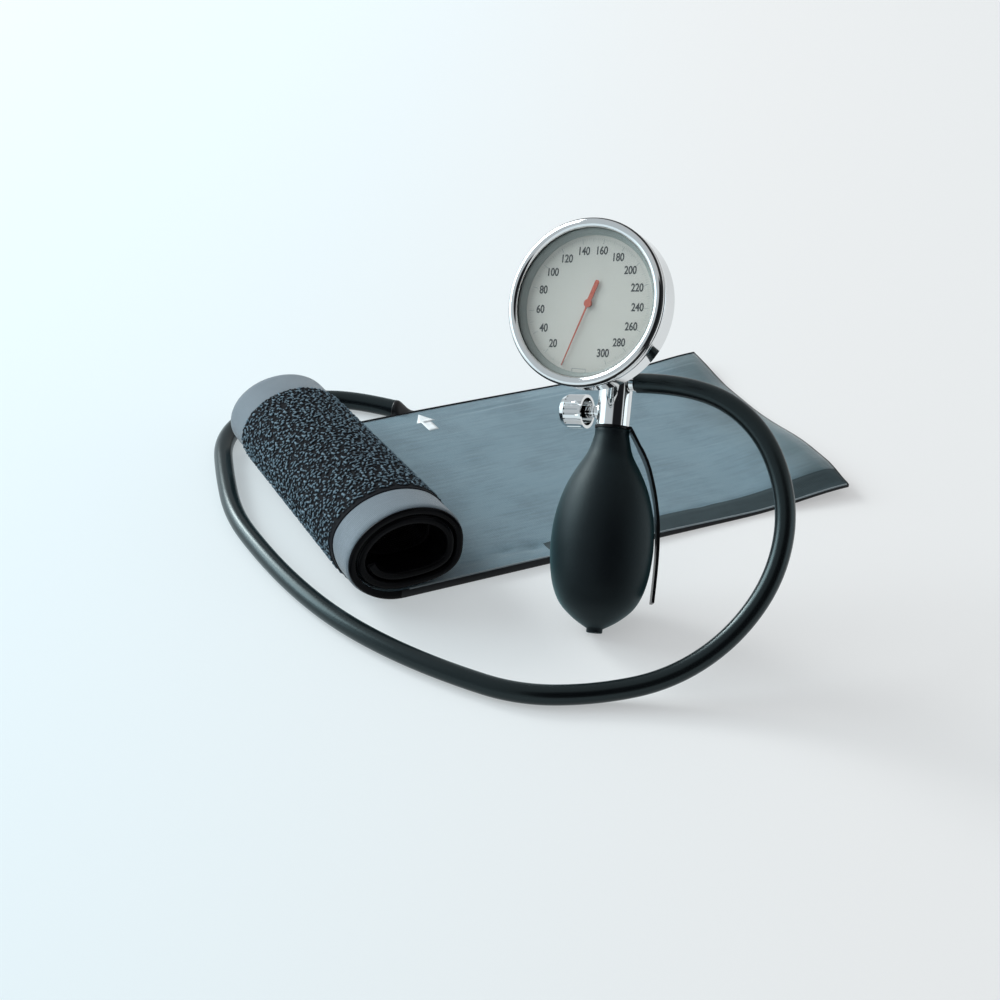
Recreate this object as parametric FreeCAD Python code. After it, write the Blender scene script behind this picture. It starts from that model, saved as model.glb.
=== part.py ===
import FreeCAD, Part
import os
from math import acos, copysign, cos, degrees, floor, hypot, pi, radians, sin, sqrt, tan

# Palm-type aneroid sphygmomanometer: a rolled arm cuff, a rubber hose and a hand unit of bulb, valve and
# gauge.
# Millimetres, +Z up. The origin is the centre of the flat part of the cuff, on its underside.
# +X runs along the cuff away from its roll, +Y across the cuff towards the edge where the hose goes in.

Vec = FreeCAD.Vector

# ---------------------------------------------------------------- driving dimensions: cuff
CUFF_WIDTH = 140.0            # along Y, binding included
CUFF_FLAT_HALF = 115.0        # half of the flat stretch, along X
CLOTH = 2.0                   # each of the two nylon layers, backing included
SHEET = 2 * CLOTH             # outer and inner cloth together
BINDING = 1.2                 # tape sewn over the raw edges
ROLL_CENTRE_X = -111.5
ROLL_NEAR = (27.5, 44.7)      # half width and height of the roll at the cuff's near edge
ROLL_FAR = (24.0, 38.2)       # the same at the far edge, where it is wound tighter
TURN_PITCH = SHEET + 0.4      # one turn lies this much inside the one before
WINDING_STEP = 12.5           # degrees of winding in one facet of the cloth
WINDING_STEPS = 64            # two turns and a bit
CORNER_POWER = 2.0 / 3.0      # makes the corner where a turn folds under rounder or squarer
POCKET = (-96.0, 108.0, 60.0)  # bladder pocket: low x, high x, half width
BLADDER_FILM = 0.9            # depth of the pocket in each cloth
LOOP_PATCH = (2, 23, -1.2, 0.0, -53.0, 52.0)    # first and last step of winding, depths, low y, high y
HOOK_PATCH = (36, 63, SHEET, SHEET + 0.9, -54.0, 54.0)

# ---------------------------------------------------------------- driving dimensions: hose
HOSE_R = 4.25
HOSE_BORE_R = 2.0
NIPPLE_R = 1.96
NIPPLE_LENGTH = 12.0
PORT_LENGTH = 15.0            # the tube's end narrows over this length to slip between the cloths
PORT_TAIL_R = 0.9
HOSE_END = Vec(-47.9, 73.5, HOSE_R)
HOSE_END_HEADING = Vec(0.66, -0.752, 0.0).normalize()
# Route between its two ends, chosen so that the hose rises from the hand unit, comes down in front of it,
# lies on the table round the roll and turns back into the far edge of the cuff.
HOSE_ROUTE = [
    (17, -133, 90), (17, -158, 68), (4, -174, 45), (-18, -180, 24), (-45, -178, 9.5), (-74, -169, HOSE_R),
    (-103, -157, HOSE_R), (-122, -132, HOSE_R), (-137, -106, HOSE_R), (-148, -78, HOSE_R),
    (-154, -48, HOSE_R), (-156.3, -17, HOSE_R), (-156, 14, HOSE_R), (-147, 46.6, HOSE_R),
    (-135.8, 78, HOSE_R), (-113.4, 96.2, HOSE_R), (-85, 99.4, HOSE_R),
]
FIRST_RUN = 28.0
LAST_RUN = 22.2

# ---------------------------------------------------------------- driving dimensions: hand unit, own frame
# The hand unit is drawn upright: origin at the foot of the bulb, +Z up its axis, the dial facing -Y,
# the release valve on -X and the hose barb on +X.
FOOT = (-51.5, -127.3)
HEADING = -58.3               # turn about the vertical
LEAN = 36.6                   # it rests tipped back on the rim of its foot
LEAN_AZIMUTH = 57.8
NUB_R = 3.4
NUB_HEIGHT = 1.8
BULB_OUTLINE = [(3.4, 1.8), (9.4, 5.5), (15.2, 10.8), (18.6, 17.0), (20.5, 24.0), (21.4, 31.5), (21.6, 38.5),
                (21.0, 46.5), (19.4, 54.5), (16.8, 62.2), (13.2, 69.3), (9.4, 76.0), (7.3, 83.5)]
BULB_WALL = 2.3
COLLAR_R = 7.3
COLLAR_TOP = 86.2
SHANK_R = 5.55
SHANK_FIT = 0.05
INTAKE_R = 2.2
CLIP_THICKNESS = 1.2
CLIP_WIDTH = 13.0
CLIP_AZIMUTH = 29.0
CLIP_OUTLINE = [(9.9, 83.9), (12.9, 79.0), (15.9, 73.7), (18.3, 67.6), (20.5, 60.3), (22.3, 52.0),
                (23.5, 41.0), (23.8, 28.0), (23.5, 14.5)]
NECK_R = 7.0
NECK_BASE = COLLAR_TOP + CLIP_THICKNESS
NECK_TOP = 122.5
KNOB_Z = 93.5
BARB_Z = 106.0
STEM_Z = 115.4
AIRWAY_R = 1.3
KNOB_R = 7.2
KNOB_NEAR = 12.6              # distance of the knob's skirt from the neck's axis
KNOB_LENGTH = 11.4
SCREW_R = 2.5
THREAD_START = 8.2
THREAD_PITCH = 1.2
THREAD_RIDGES = 4
RUNNING_GAP = 0.06
HOSE_START = 10.0             # distance of the hose's end face from the neck's axis

# ---------------------------------------------------------------- driving dimensions: gauge, own frame
# The gauge is drawn as one sees it: +Z out of the dial towards the reader, +Y up, +X right. Its z is the
# distance from the neck's axis.
GAUGE_Z = 133.4               # height of the pointer's axis on the hand unit
GAUGE_FRONT = 37.75
GAUGE_R = 35.1
BEZEL_DEPTH = 6.0
CASE_BACK = 22.0              # back of the full-width part of the case
STEP_R = 25.0
STEP_BACK = 14.5
CASE_WALL = 1.3
OPENING_R = 31.5
DIAL_FACE = 32.3
DIAL_T = 0.6
DIAL_R = 32.3
LENS_T = 1.5
LENS_FACE = 35.9
MODULE = 0.4
PINION_TEETH = 12
SECTOR_TEETH = 108            # on the full circle
SECTOR_CUT = 16               # teeth really cut on the sector
PRESSURE_ANGLE = 28.0
BACKLASH = 0.09
SECTOR_AZIMUTH = 250.0        # direction from the pointer's axis to the sector's axis, degrees
ARBOR_R = 0.6
PLATE_T = 0.8
BASE_PLATE = 24.2             # back face of the movement's base plate
TOP_PLATE = 28.8              # back face of the movement's top plate
CAPSULE_R = 18.0
CAPSULE_BACK = 17.6
CAPSULE_FRONT = 21.6
MOVEMENT_R = 29.0
DIAL_FEET = [(9.0, 12.0), (-11.0, -3.0)]

UP = Vec(0, 0, 1)


# ---------------------------------------------------------------- general helpers
def polygon_face(points):
    """Face from (a, b) pairs in the XZ plane."""
    corners = [Vec(a, 0, b) for a, b in points]
    return Part.Face(Part.makePolygon(corners + corners[:1]))


def turned(points):
    """Solid of revolution about Z from (radius, height) pairs."""
    return polygon_face(points).revolve(Vec(0, 0, 0), UP, 360)


def drum(radius, low, high, x=0.0, y=0.0):
    return Part.makeCylinder(radius, high - low, Vec(x, y, low), UP)


def ring(outer, inner, low, high):
    return turned([(inner, low), (outer, low), (outer, high), (inner, high)])


def cut_all(body, tools):
    for tool in tools:
        body = body.cut(tool)
    return body


def fuse_all(shapes):
    body = shapes[0]
    for shape in shapes[1:]:
        body = body.fuse(shape)
    return body.removeSplitter()


def offset_outline(points, distance):
    """The same outline moved to its left by distance, from the direction between its neighbours."""
    moved = []
    for i, (r, z) in enumerate(points):
        r0, z0 = points[max(i - 1, 0)]
        r1, z1 = points[min(i + 1, len(points) - 1)]
        span = hypot(r1 - r0, z1 - z0)
        moved.append((r - distance * (z1 - z0) / span, z + distance * (r1 - r0) / span))
    return moved


def spline_edge(points):
    curve = Part.BSplineCurve()
    curve.interpolate([Vec(a, 0, b) for a, b in points])
    return curve.toShape()


def line_edge(start, end):
    return Part.LineSegment(Vec(start[0], 0, start[1]), Vec(end[0], 0, end[1])).toShape()


def placed(shape, placement):
    return shape.transformed(placement.toMatrix(), True)


def turn_about(axis, angle):
    return FreeCAD.Placement(Vec(0, 0, 0), FreeCAD.Rotation(axis, angle))


# ---------------------------------------------------------------- placements
LEAN_AXIS = Vec(-sin(radians(LEAN_AZIMUTH)), cos(radians(LEAN_AZIMUTH)), 0)
FOOT_LIFT = NUB_R * sin(radians(LEAN))
UNIT = FreeCAD.Placement(Vec(FOOT[0], FOOT[1], FOOT_LIFT), FreeCAD.Rotation(LEAN_AXIS, LEAN)).multiply(
    turn_about(UP, HEADING))
TO_DIAL = FreeCAD.Rotation(Vec(1, 0, 0), 90)
TO_KNOB = FreeCAD.Rotation(Vec(0, 1, 0), -90)
TO_BARB = FreeCAD.Rotation(Vec(0, 1, 0), 90)
GAUGE = UNIT.multiply(FreeCAD.Placement(Vec(0, 0, GAUGE_Z), TO_DIAL))
STEM = UNIT.multiply(FreeCAD.Placement(Vec(0, 0, STEM_Z), TO_DIAL))
KNOB = UNIT.multiply(FreeCAD.Placement(Vec(0, 0, KNOB_Z), TO_KNOB))
BARB = UNIT.multiply(FreeCAD.Placement(Vec(0, 0, BARB_Z), TO_BARB))


# ---------------------------------------------------------------- cuff
def roll_point(angle, roll):
    """Outer face of the winding at an angle that starts at the bottom and goes up the left side."""
    turn = floor(angle / 360.0)
    phase = radians(angle - 360.0 * turn)
    half_width = roll[0] - TURN_PITCH * turn
    half_height = roll[1] / 2 - TURN_PITCH * turn
    power = 1.0
    if phase > 1.5 * pi:
        half_height -= TURN_PITCH
        power = CORNER_POWER
    across = copysign(abs(sin(phase)) ** power, sin(phase))
    along = copysign(abs(cos(phase)) ** power, cos(phase))
    return ROLL_CENTRE_X - half_width * across, roll[1] / 2 - half_height * along


def point_at_depth(step, depth, roll):
    """Point of the winding at a depth inside its outer face, at one end of the roll."""
    angle = step * WINDING_STEP
    x, z = roll_point(angle, roll)
    x0, z0 = roll_point(max(angle - 0.4, 0.0), roll)
    x1, z1 = roll_point(angle + 0.4, roll)
    if step == 0:
        x1, z1 = x0 - 1.0, z0
    span = hypot(x1 - x0, z1 - z0)
    return Vec(x + depth * (z1 - z0) / span, 0, z - depth * (x1 - x0) / span)


def winding(first, last, depth, y):
    """Corners of the winding at a depth and at a place across the cuff. The roll tapers evenly along Y."""
    share = y / CUFF_WIDTH + 0.5
    corners = []
    for step in range(first, last + 1):
        near = point_at_depth(step, depth, ROLL_NEAR)
        far = point_at_depth(step, depth, ROLL_FAR)
        corner = near * (1.0 - share) + far * share
        corners.append(Vec(corner.x, y, corner.z))
    return corners


def between_sections(low_section, high_section):
    wires = [Part.makePolygon(corners + corners[:1]) for corners in (low_section, high_section)]
    return Part.makeLoft(wires, True, True)


def wound_sheet(depth, thickness, y_low, y_high, flat_end):
    """One layer of the cuff: flat from flat_end to the roll, then wound up."""
    sections = []
    for y in (y_low, y_high):
        near = winding(0, WINDING_STEPS, depth, y)
        far = winding(0, WINDING_STEPS, depth + thickness, y)
        sections.append([Vec(flat_end, y, depth)] + near + far[::-1] + [Vec(flat_end, y, depth + thickness)])
    return between_sections(*sections)


def wound_patch(first, last, depth_low, depth_high, y_low, y_high):
    sections = []
    for y in (y_low, y_high):
        sections.append(winding(first, last, depth_low, y) + winding(first, last, depth_high, y)[::-1])
    return between_sections(*sections)


def tube_end():
    """Moulded end of the bladder's tube: full width at the hose, narrow where it lies between the cloths."""
    tail = HOSE_END + HOSE_END_HEADING * PORT_LENGTH
    slope = (Vec(tail.x, tail.y, CLOTH) - HOSE_END).normalize()
    cone = Part.makeCone(HOSE_R + 0.2, PORT_TAIL_R, PORT_LENGTH + 1, HOSE_END - slope, slope)
    beyond = Part.makeCylinder(15, 15, HOSE_END, HOSE_END_HEADING * -1.0)
    table = Part.makeBox(60, 60, 10, Vec(HOSE_END.x - 30, HOSE_END.y - 30, -10))
    return cone.cut(beyond).cut(table)


def tube_port():
    outward = HOSE_END_HEADING * -1.0
    nipple = Part.makeCylinder(NIPPLE_R, NIPPLE_LENGTH, HOSE_END, outward)
    airway = Part.makeCylinder(1.1, NIPPLE_LENGTH + 6, HOSE_END + HOSE_END_HEADING * 5, outward)
    tail = HOSE_END + HOSE_END_HEADING * (PORT_LENGTH + 2)
    slope = Vec(tail.x, tail.y, CLOTH) - HOSE_END
    narrow_way = Part.makeCylinder(0.45, slope.Length, HOSE_END, slope)
    return tube_end().fuse(nipple).cut(airway).cut(narrow_way).removeSplitter()


def cuff_nodes():
    half = CUFF_WIDTH / 2 - BINDING
    cloth_end = CUFF_FLAT_HALF - BINDING
    port = tube_end()
    pocket_x0, pocket_x1, pocket_y = POCKET
    pocket = Part.makeBox(pocket_x1 - pocket_x0, 2 * pocket_y, 2 * BLADDER_FILM,
                          Vec(pocket_x0, -pocket_y, CLOTH - BLADDER_FILM))
    outer = wound_sheet(0.0, CLOTH, -half, half, cloth_end)
    inner = wound_sheet(CLOTH, CLOTH, -half, half, cloth_end)
    near_edge = wound_sheet(0.0, SHEET, -half - BINDING, -half, CUFF_FLAT_HALF)
    far_edge = wound_sheet(0.0, SHEET, half, half + BINDING, CUFF_FLAT_HALF)
    end_edge = Part.makeBox(BINDING, 2 * half, SHEET, Vec(cloth_end, -half, 0))
    binding = fuse_all([near_edge, end_edge, far_edge])
    return {
        "cuff_outer_cloth": cut_all(outer, [pocket, port]),
        "cuff_inner_cloth": cut_all(inner, [pocket, port]),
        "bladder": pocket.cut(port),
        "edge_binding": binding.cut(port),
        "loop_patch": wound_patch(*LOOP_PATCH),
        "hook_patch": wound_patch(*HOOK_PATCH),
        "tube_port": tube_port(),
    }


# ---------------------------------------------------------------- hose
def hose_points():
    start = UNIT.multVec(Vec(HOSE_START, 0, BARB_Z))
    heading = UNIT.Rotation.multVec(Vec(1, 0, 0))
    points = [start, start + heading * FIRST_RUN]
    points += [Vec(*place) for place in HOSE_ROUTE]
    points += [HOSE_END - HOSE_END_HEADING * LAST_RUN, HOSE_END]
    return points


def hose_path(points):
    """Straight runs joined by tangent arcs, each as large as its two runs allow."""
    edges = []
    reached = points[0]
    for before, here, after in zip(points, points[1:], points[2:]):
        run_in = here - before
        run_out = after - here
        turn = run_in.getAngle(run_out)
        tangent = 0.45 * min(run_in.Length, run_out.Length)
        radius = tangent / tan(turn / 2)
        into = here - run_in.normalize() * tangent
        out = here + run_out.normalize() * tangent
        towards = ((into + out) * 0.5 - here).normalize()
        middle = here + towards * (radius / cos(turn / 2) - radius)
        edges.append(Part.LineSegment(reached, into).toShape())
        edges.append(Part.Arc(into, middle, out).toShape())
        reached = out
        print("hose bend radius %.1f, turn %.1f" % (radius, degrees(turn)))
    edges.append(Part.LineSegment(reached, points[-1]).toShape())
    return Part.Wire(edges)


def hose():
    points = hose_points()
    path = hose_path(points)
    heading = (points[1] - points[0]).normalize()
    section = Part.Face(Part.Wire(Part.makeCircle(HOSE_R, points[0], heading)))
    tube = path.makePipe(section)
    print("hose length %.1f, volume %.0f, section x length %.0f" % (
        path.Length, tube.Volume, pi * HOSE_R ** 2 * path.Length))
    for end, inward in ((points[0], heading), (points[-1], (points[-2] - points[-1]).normalize())):
        tube = tube.cut(Part.makeCylinder(HOSE_BORE_R, NIPPLE_LENGTH + 1, end, inward))
    return tube


# ---------------------------------------------------------------- bulb and its intake valve
def bulb():
    """Hollow bulb with a short foot and a collar round the neck's shank."""
    bore = SHANK_R + SHANK_FIT
    inside = offset_outline(BULB_OUTLINE, BULB_WALL)[1:-1:2]
    floor_point = (INTAKE_R, inside[0][1] - 1.2)
    collar = [(COLLAR_R, COLLAR_TOP), (bore, COLLAR_TOP), (bore, 78.0)]
    outside = [(INTAKE_R, 0), (NUB_R, 0)] + BULB_OUTLINE + collar
    return turned(outside + inside[::-1] + [floor_point])


def intake_valve():
    body = turned([(0.7, 0.5), (INTAKE_R, 0.5), (INTAKE_R, 8.0), (1.6, 8.0), (1.6, 3.5), (0.7, 3.5)])
    cage = ring(1.6, 0.8, 7.2, 8.0)
    ball = Part.makeSphere(1.3, Vec(0, 0, 4.65))
    filter_disc = drum(INTAKE_R, 0.15, 0.5)
    holes = [drum(0.35, 0.0, 1.0, 1.2 * cos(k * pi / 2), 1.2 * sin(k * pi / 2)) for k in range(4)]
    return {
        "intake_valve_body": body,
        "intake_valve_cage": cage,
        "intake_valve_ball": ball,
        "intake_filter": cut_all(filter_disc, holes),
    }


# ---------------------------------------------------------------- valve body, outlet valve, clip
def valve_body():
    """Chromed neck: shank in the bulb's collar, three side ports and a rounded top."""
    outline = [
        (0.0, 72.5), (SHANK_R - 0.6, 72.5), (SHANK_R, 73.5), (SHANK_R, NECK_BASE), (NECK_R, NECK_BASE),
        (NECK_R, NECK_TOP - 3.0), (NECK_R - 0.8, NECK_TOP - 1.1), (NECK_R - 3.2, NECK_TOP), (0.0, NECK_TOP),
    ]
    body = turned(outline)
    boss = placed(drum(3.6, 0, NECK_R + 0.3), FreeCAD.Placement(Vec(0, 0, KNOB_Z), TO_KNOB))
    body = fuse_all([body, boss])
    needle_seat = placed(drum(0.8, 0, 3.0), FreeCAD.Placement(Vec(0, 0, KNOB_Z), TO_KNOB))
    needle_bore = placed(drum(SCREW_R + RUNNING_GAP, 2.4, 12), FreeCAD.Placement(Vec(0, 0, KNOB_Z), TO_KNOB))
    barb_way = placed(drum(AIRWAY_R, 0, 12), FreeCAD.Placement(Vec(0, 0, BARB_Z), TO_BARB))
    barb_bore = placed(drum(2.6, 3.5, 12), FreeCAD.Placement(Vec(0, 0, BARB_Z), TO_BARB))
    stem_way = placed(drum(AIRWAY_R, 0, 12), FreeCAD.Placement(Vec(0, 0, STEM_Z), TO_DIAL))
    stem_bore = placed(drum(3.4, 3.4, 12), FreeCAD.Placement(Vec(0, 0, STEM_Z), TO_DIAL))
    airway = drum(AIRWAY_R, 72, STEM_Z + 1)
    outlet_chamber = drum(3.2, 72, 80.5)
    return cut_all(body, [needle_seat, needle_bore, barb_way, barb_bore, stem_way, stem_bore, airway,
                          outlet_chamber])


def outlet_valve():
    seat = ring(3.2, 0.8, 72.5, 74.0)
    spacer = ring(3.2, 2.2, 74.0, 79.7)
    cage = ring(3.2, 0.9, 79.7, 80.5)
    ball = Part.makeSphere(1.9, Vec(0, 0, 74.0 + sqrt(1.9 ** 2 - 0.8 ** 2) + 0.05))
    return {
        "outlet_valve_seat": seat.fuse(spacer).removeSplitter(),
        "outlet_valve_cage": cage,
        "outlet_valve_ball": ball,
    }


def finger_clip():
    """Sprung blade along the bulb, cut from one strip with the ring that the neck clamps."""
    clamp = ring(COLLAR_R + 0.2, SHANK_R + SHANK_FIT, COLLAR_TOP, NECK_BASE)
    middle = COLLAR_TOP + CLIP_THICKNESS / 2
    outer = [(8.6, 86.0)] + CLIP_OUTLINE
    inner = offset_outline(outer, -CLIP_THICKNESS)
    shoulder_top = (SHANK_R + 0.9, NECK_BASE)
    shoulder_low = (SHANK_R + 0.9, COLLAR_TOP)
    outer_start = (7.6, NECK_BASE)
    inner_start = (inner[0][0], COLLAR_TOP)
    edges = [
        line_edge(shoulder_top, outer_start),
        line_edge(outer_start, outer[0]),
        spline_edge(outer),
        line_edge(outer[-1], inner[-1]),
        spline_edge(inner),
        line_edge(inner[0], inner_start),
        line_edge(inner_start, shoulder_low),
        line_edge(shoulder_low, shoulder_top),
    ]
    face = Part.Face(Part.Wire(Part.__sortEdges__(edges)))
    face.translate(Vec(0, -CLIP_WIDTH / 2, 0))
    blade = face.extrude(Vec(0, CLIP_WIDTH, 0))
    bore = drum(SHANK_R + SHANK_FIT, COLLAR_TOP - 2, NECK_BASE + 2)
    taper = Part.makeCylinder(CLIP_WIDTH / 2 + 1.0, 40, Vec(0, 0, 60), UP)
    keep_low = Part.makeBox(40, 40, 79, Vec(-5, -20, 0))
    blade = blade.common(keep_low.fuse(taper.fuse(Part.makeBox(30, 10, 40, Vec(0, -5, 60)))))
    clip = clamp.fuse(blade).cut(bore).removeSplitter()
    return placed(clip, turn_about(UP, CLIP_AZIMUTH))


def hand_unit_nodes():
    nodes = {"bulb": bulb(), "valve_body": valve_body(), "finger_clip": finger_clip()}
    nodes.update(intake_valve())
    nodes.update(outlet_valve())
    return {name: placed(shape, UNIT) for name, shape in nodes.items()}


# ---------------------------------------------------------------- release valve, barb and gauge stem
def release_knob():
    """Skirted thumb wheel with a rounded end and flutes."""
    near = KNOB_NEAR
    end = near + KNOB_LENGTH
    outline = [
        (SCREW_R, near + 6.5), (KNOB_R - 1.3, near + 6.5), (KNOB_R - 1.3, near), (KNOB_R, near),
        (KNOB_R, end - 3.2), (KNOB_R - 0.9, end - 1.2), (KNOB_R - 3.4, end), (0.0, end), (0.0, end - 1.0),
        (SCREW_R, end - 1.0),
    ]
    knob = turned(outline)
    count = 20
    corners = [Vec(KNOB_R - 0.5, 0, 0), Vec(KNOB_R + 0.3, -0.8, 0), Vec(KNOB_R + 0.3, 0.8, 0)]
    groove = Part.Face(Part.makePolygon(corners + corners[:1]))
    groove.translate(Vec(0, 0, near + 1.4))
    groove = groove.extrude(Vec(0, 0, end - near - 4.8))
    flutes = []
    for k in range(count):
        flute = groove.copy()
        flute.rotate(Vec(0, 0, 0), UP, 360.0 * k / count)
        flutes.append(flute)
    return knob.cut(Part.makeCompound(flutes))


def release_screw():
    """Screw of the release valve. Its thread shows as ridges between the neck and the wheel."""
    end = KNOB_NEAR + KNOB_LENGTH - 1.0
    root = SCREW_R - 0.4
    outline = [(0.0, 5.1), (SCREW_R - 0.3, 5.1), (SCREW_R, 5.4)]
    for k in range(THREAD_RIDGES):
        base = THREAD_START + THREAD_PITCH * k
        groove_end = base + THREAD_PITCH / 2
        outline += [(SCREW_R, base), (root, base), (root, groove_end), (SCREW_R, groove_end)]
    return turned(outline + [(SCREW_R, end), (0.0, end)])


def needle_pin():
    """Loose needle in front of the screw: a cone that closes the seat."""
    return turned([(0.0, 2.2), (0.3, 2.2), (1.2, 4.0), (1.9, 4.0), (1.9, 5.0), (0.0, 5.0)])


def hose_barb():
    outline = [(AIRWAY_R - 0.2, 3.5), (2.6, 3.5), (2.6, NECK_R), (3.6, NECK_R), (3.6, NECK_R + 2.0),
               (2.6, NECK_R + 2.6), (2.6, HOSE_START), (NIPPLE_R, HOSE_START)]
    for k in range(2):
        base = HOSE_START + 2.0 + 4.8 * k
        outline += [(NIPPLE_R - 0.25, base), (NIPPLE_R, base + 0.2), (NIPPLE_R - 0.25, base + 3.4)]
    outline += [(NIPPLE_R - 0.5, HOSE_START + NIPPLE_LENGTH), (AIRWAY_R - 0.2, HOSE_START + NIPPLE_LENGTH)]
    return turned(outline)


def gauge_stem():
    """Union between the neck and the back of the gauge, with a hexagon for the spanner."""
    tube = ring(3.4, AIRWAY_R, 3.4, CAPSULE_BACK - 0.5)
    hexagon = Part.Face(Part.makePolygon([Vec(5.2 * cos(k * pi / 3), 5.2 * sin(k * pi / 3), 9.0)
                                          for k in range(7)])).extrude(Vec(0, 0, 4.0))
    washer = ring(4.6, AIRWAY_R, 7.6, 9.0)
    return fuse_all([tube, hexagon.cut(drum(AIRWAY_R, 8, 14)), washer])


def fitting_nodes():
    return {
        "release_knob": placed(release_knob(), KNOB),
        "release_screw": placed(release_screw(), KNOB),
        "needle_pin": placed(needle_pin(), KNOB),
        "hose_barb": placed(hose_barb(), BARB),
        "gauge_stem": placed(gauge_stem(), STEM),
    }


# ---------------------------------------------------------------- gauge
def stem_offset():
    return STEM_Z - GAUGE_Z


def gauge_case():
    """Drawn cup with a smaller step at the back that holds the capsule, and a hole for the stem."""
    front = GAUGE_FRONT - BEZEL_DEPTH
    outer = GAUGE_R - 0.4
    wall = CASE_WALL
    outline = [
        (outer, front), (outer, CASE_BACK + 1.5), (outer - 1.5, CASE_BACK), (STEP_R, CASE_BACK),
        (STEP_R, STEP_BACK + 1.2), (STEP_R - 1.2, STEP_BACK), (0.0, STEP_BACK), (0.0, STEP_BACK + wall),
        (STEP_R - wall, STEP_BACK + wall), (STEP_R - wall, CASE_BACK + wall), (outer - wall, CASE_BACK + wall),
        (outer - wall, front),
    ]
    stem_hole = Part.makeCylinder(3.4, 6, Vec(0, stem_offset(), STEP_BACK - 2), UP)
    return turned(outline).cut(stem_hole)


def bezel_ring():
    """Rolled front ring: rounded nose, groove for the lens."""
    front = GAUGE_FRONT
    back = GAUGE_FRONT - BEZEL_DEPTH
    outline = [
        (GAUGE_R - 1.7, back), (GAUGE_R, back), (GAUGE_R, front - 2.0), (GAUGE_R - 0.5, front - 0.7),
        (GAUGE_R - 1.5, front), (OPENING_R + 0.8, front), (OPENING_R, front - 0.8),
        (OPENING_R, LENS_FACE), (GAUGE_R - 1.7, LENS_FACE),
    ]
    return turned(outline)


def lens_and_seal():
    edge = GAUGE_R - 1.75
    lens = drum(edge - 0.55, LENS_FACE - LENS_T, LENS_FACE)
    gasket = ring(edge, edge - 0.5, LENS_FACE - LENS_T, LENS_FACE)
    return {"lens": lens, "lens_gasket": gasket}


def dial_pieces():
    feet = [drum(0.8, TOP_PLATE + PLATE_T, DIAL_FACE - DIAL_T, x, y) for x, y in DIAL_FEET]
    dial = fuse_all([drum(DIAL_R, DIAL_FACE - DIAL_T, DIAL_FACE)] + feet)
    dial = dial.cut(drum(1.6, DIAL_FACE - 1, DIAL_FACE + 1))
    wall = turned([(DIAL_R, DIAL_FACE), (DIAL_R, LENS_FACE - LENS_T), (OPENING_R - 0.2, LENS_FACE - LENS_T),
                   (OPENING_R - 0.6, DIAL_FACE)])
    return {"dial_plate": dial, "dial_wall_ring": wall}


def involute(angle):
    return tan(angle) - angle


def tooth_half_angle(teeth, radius):
    """Half of the angle that a tooth takes at a radius, thinned for backlash."""
    pitch = MODULE * teeth / 2
    base = pitch * cos(radians(PRESSURE_ANGLE))
    at_radius = acos(min(base / max(radius, base), 1.0))
    whole = pi / (2 * teeth) + involute(radians(PRESSURE_ANGLE)) - involute(at_radius)
    return whole - BACKLASH / (2 * radius)


def tooth_points(teeth, centre_angle):
    pitch = MODULE * teeth / 2
    radii = [pitch - 1.0 * MODULE, pitch - 0.35 * MODULE, pitch + 0.2 * MODULE, pitch + 0.72 * MODULE]
    flank = [(r, tooth_half_angle(teeth, r)) for r in radii]
    rising = [(r, centre_angle - half) for r, half in flank]
    falling = [(r, centre_angle + half) for r, half in reversed(flank)]
    return [Vec(r * cos(a), r * sin(a), 0) for r, a in rising + falling]


def gear_blank(corners, low, high):
    face = Part.Face(Part.makePolygon(corners + corners[:1]))
    face.translate(Vec(0, 0, low))
    return face.extrude(Vec(0, 0, high - low))


def pinion():
    """Pinion cut on the pointer's arbor. One tooth points at the sector."""
    corners = []
    for k in range(PINION_TEETH):
        corners += tooth_points(PINION_TEETH, radians(SECTOR_AZIMUTH) + 2 * pi * k / PINION_TEETH)
    leaves = gear_blank(corners, BASE_PLATE + PLATE_T + 0.5, TOP_PLATE - 0.9)
    arbor = drum(ARBOR_R, BASE_PLATE + 0.1, DIAL_FACE + 1.2)
    collet = drum(1.0, TOP_PLATE - 0.8, TOP_PLATE - 0.2)
    return fuse_all([leaves, arbor, collet])


def sector_centre():
    distance = MODULE * (PINION_TEETH + SECTOR_TEETH) / 2
    angle = radians(SECTOR_AZIMUTH)
    return Vec(distance * cos(angle), distance * sin(angle), 0)


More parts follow.
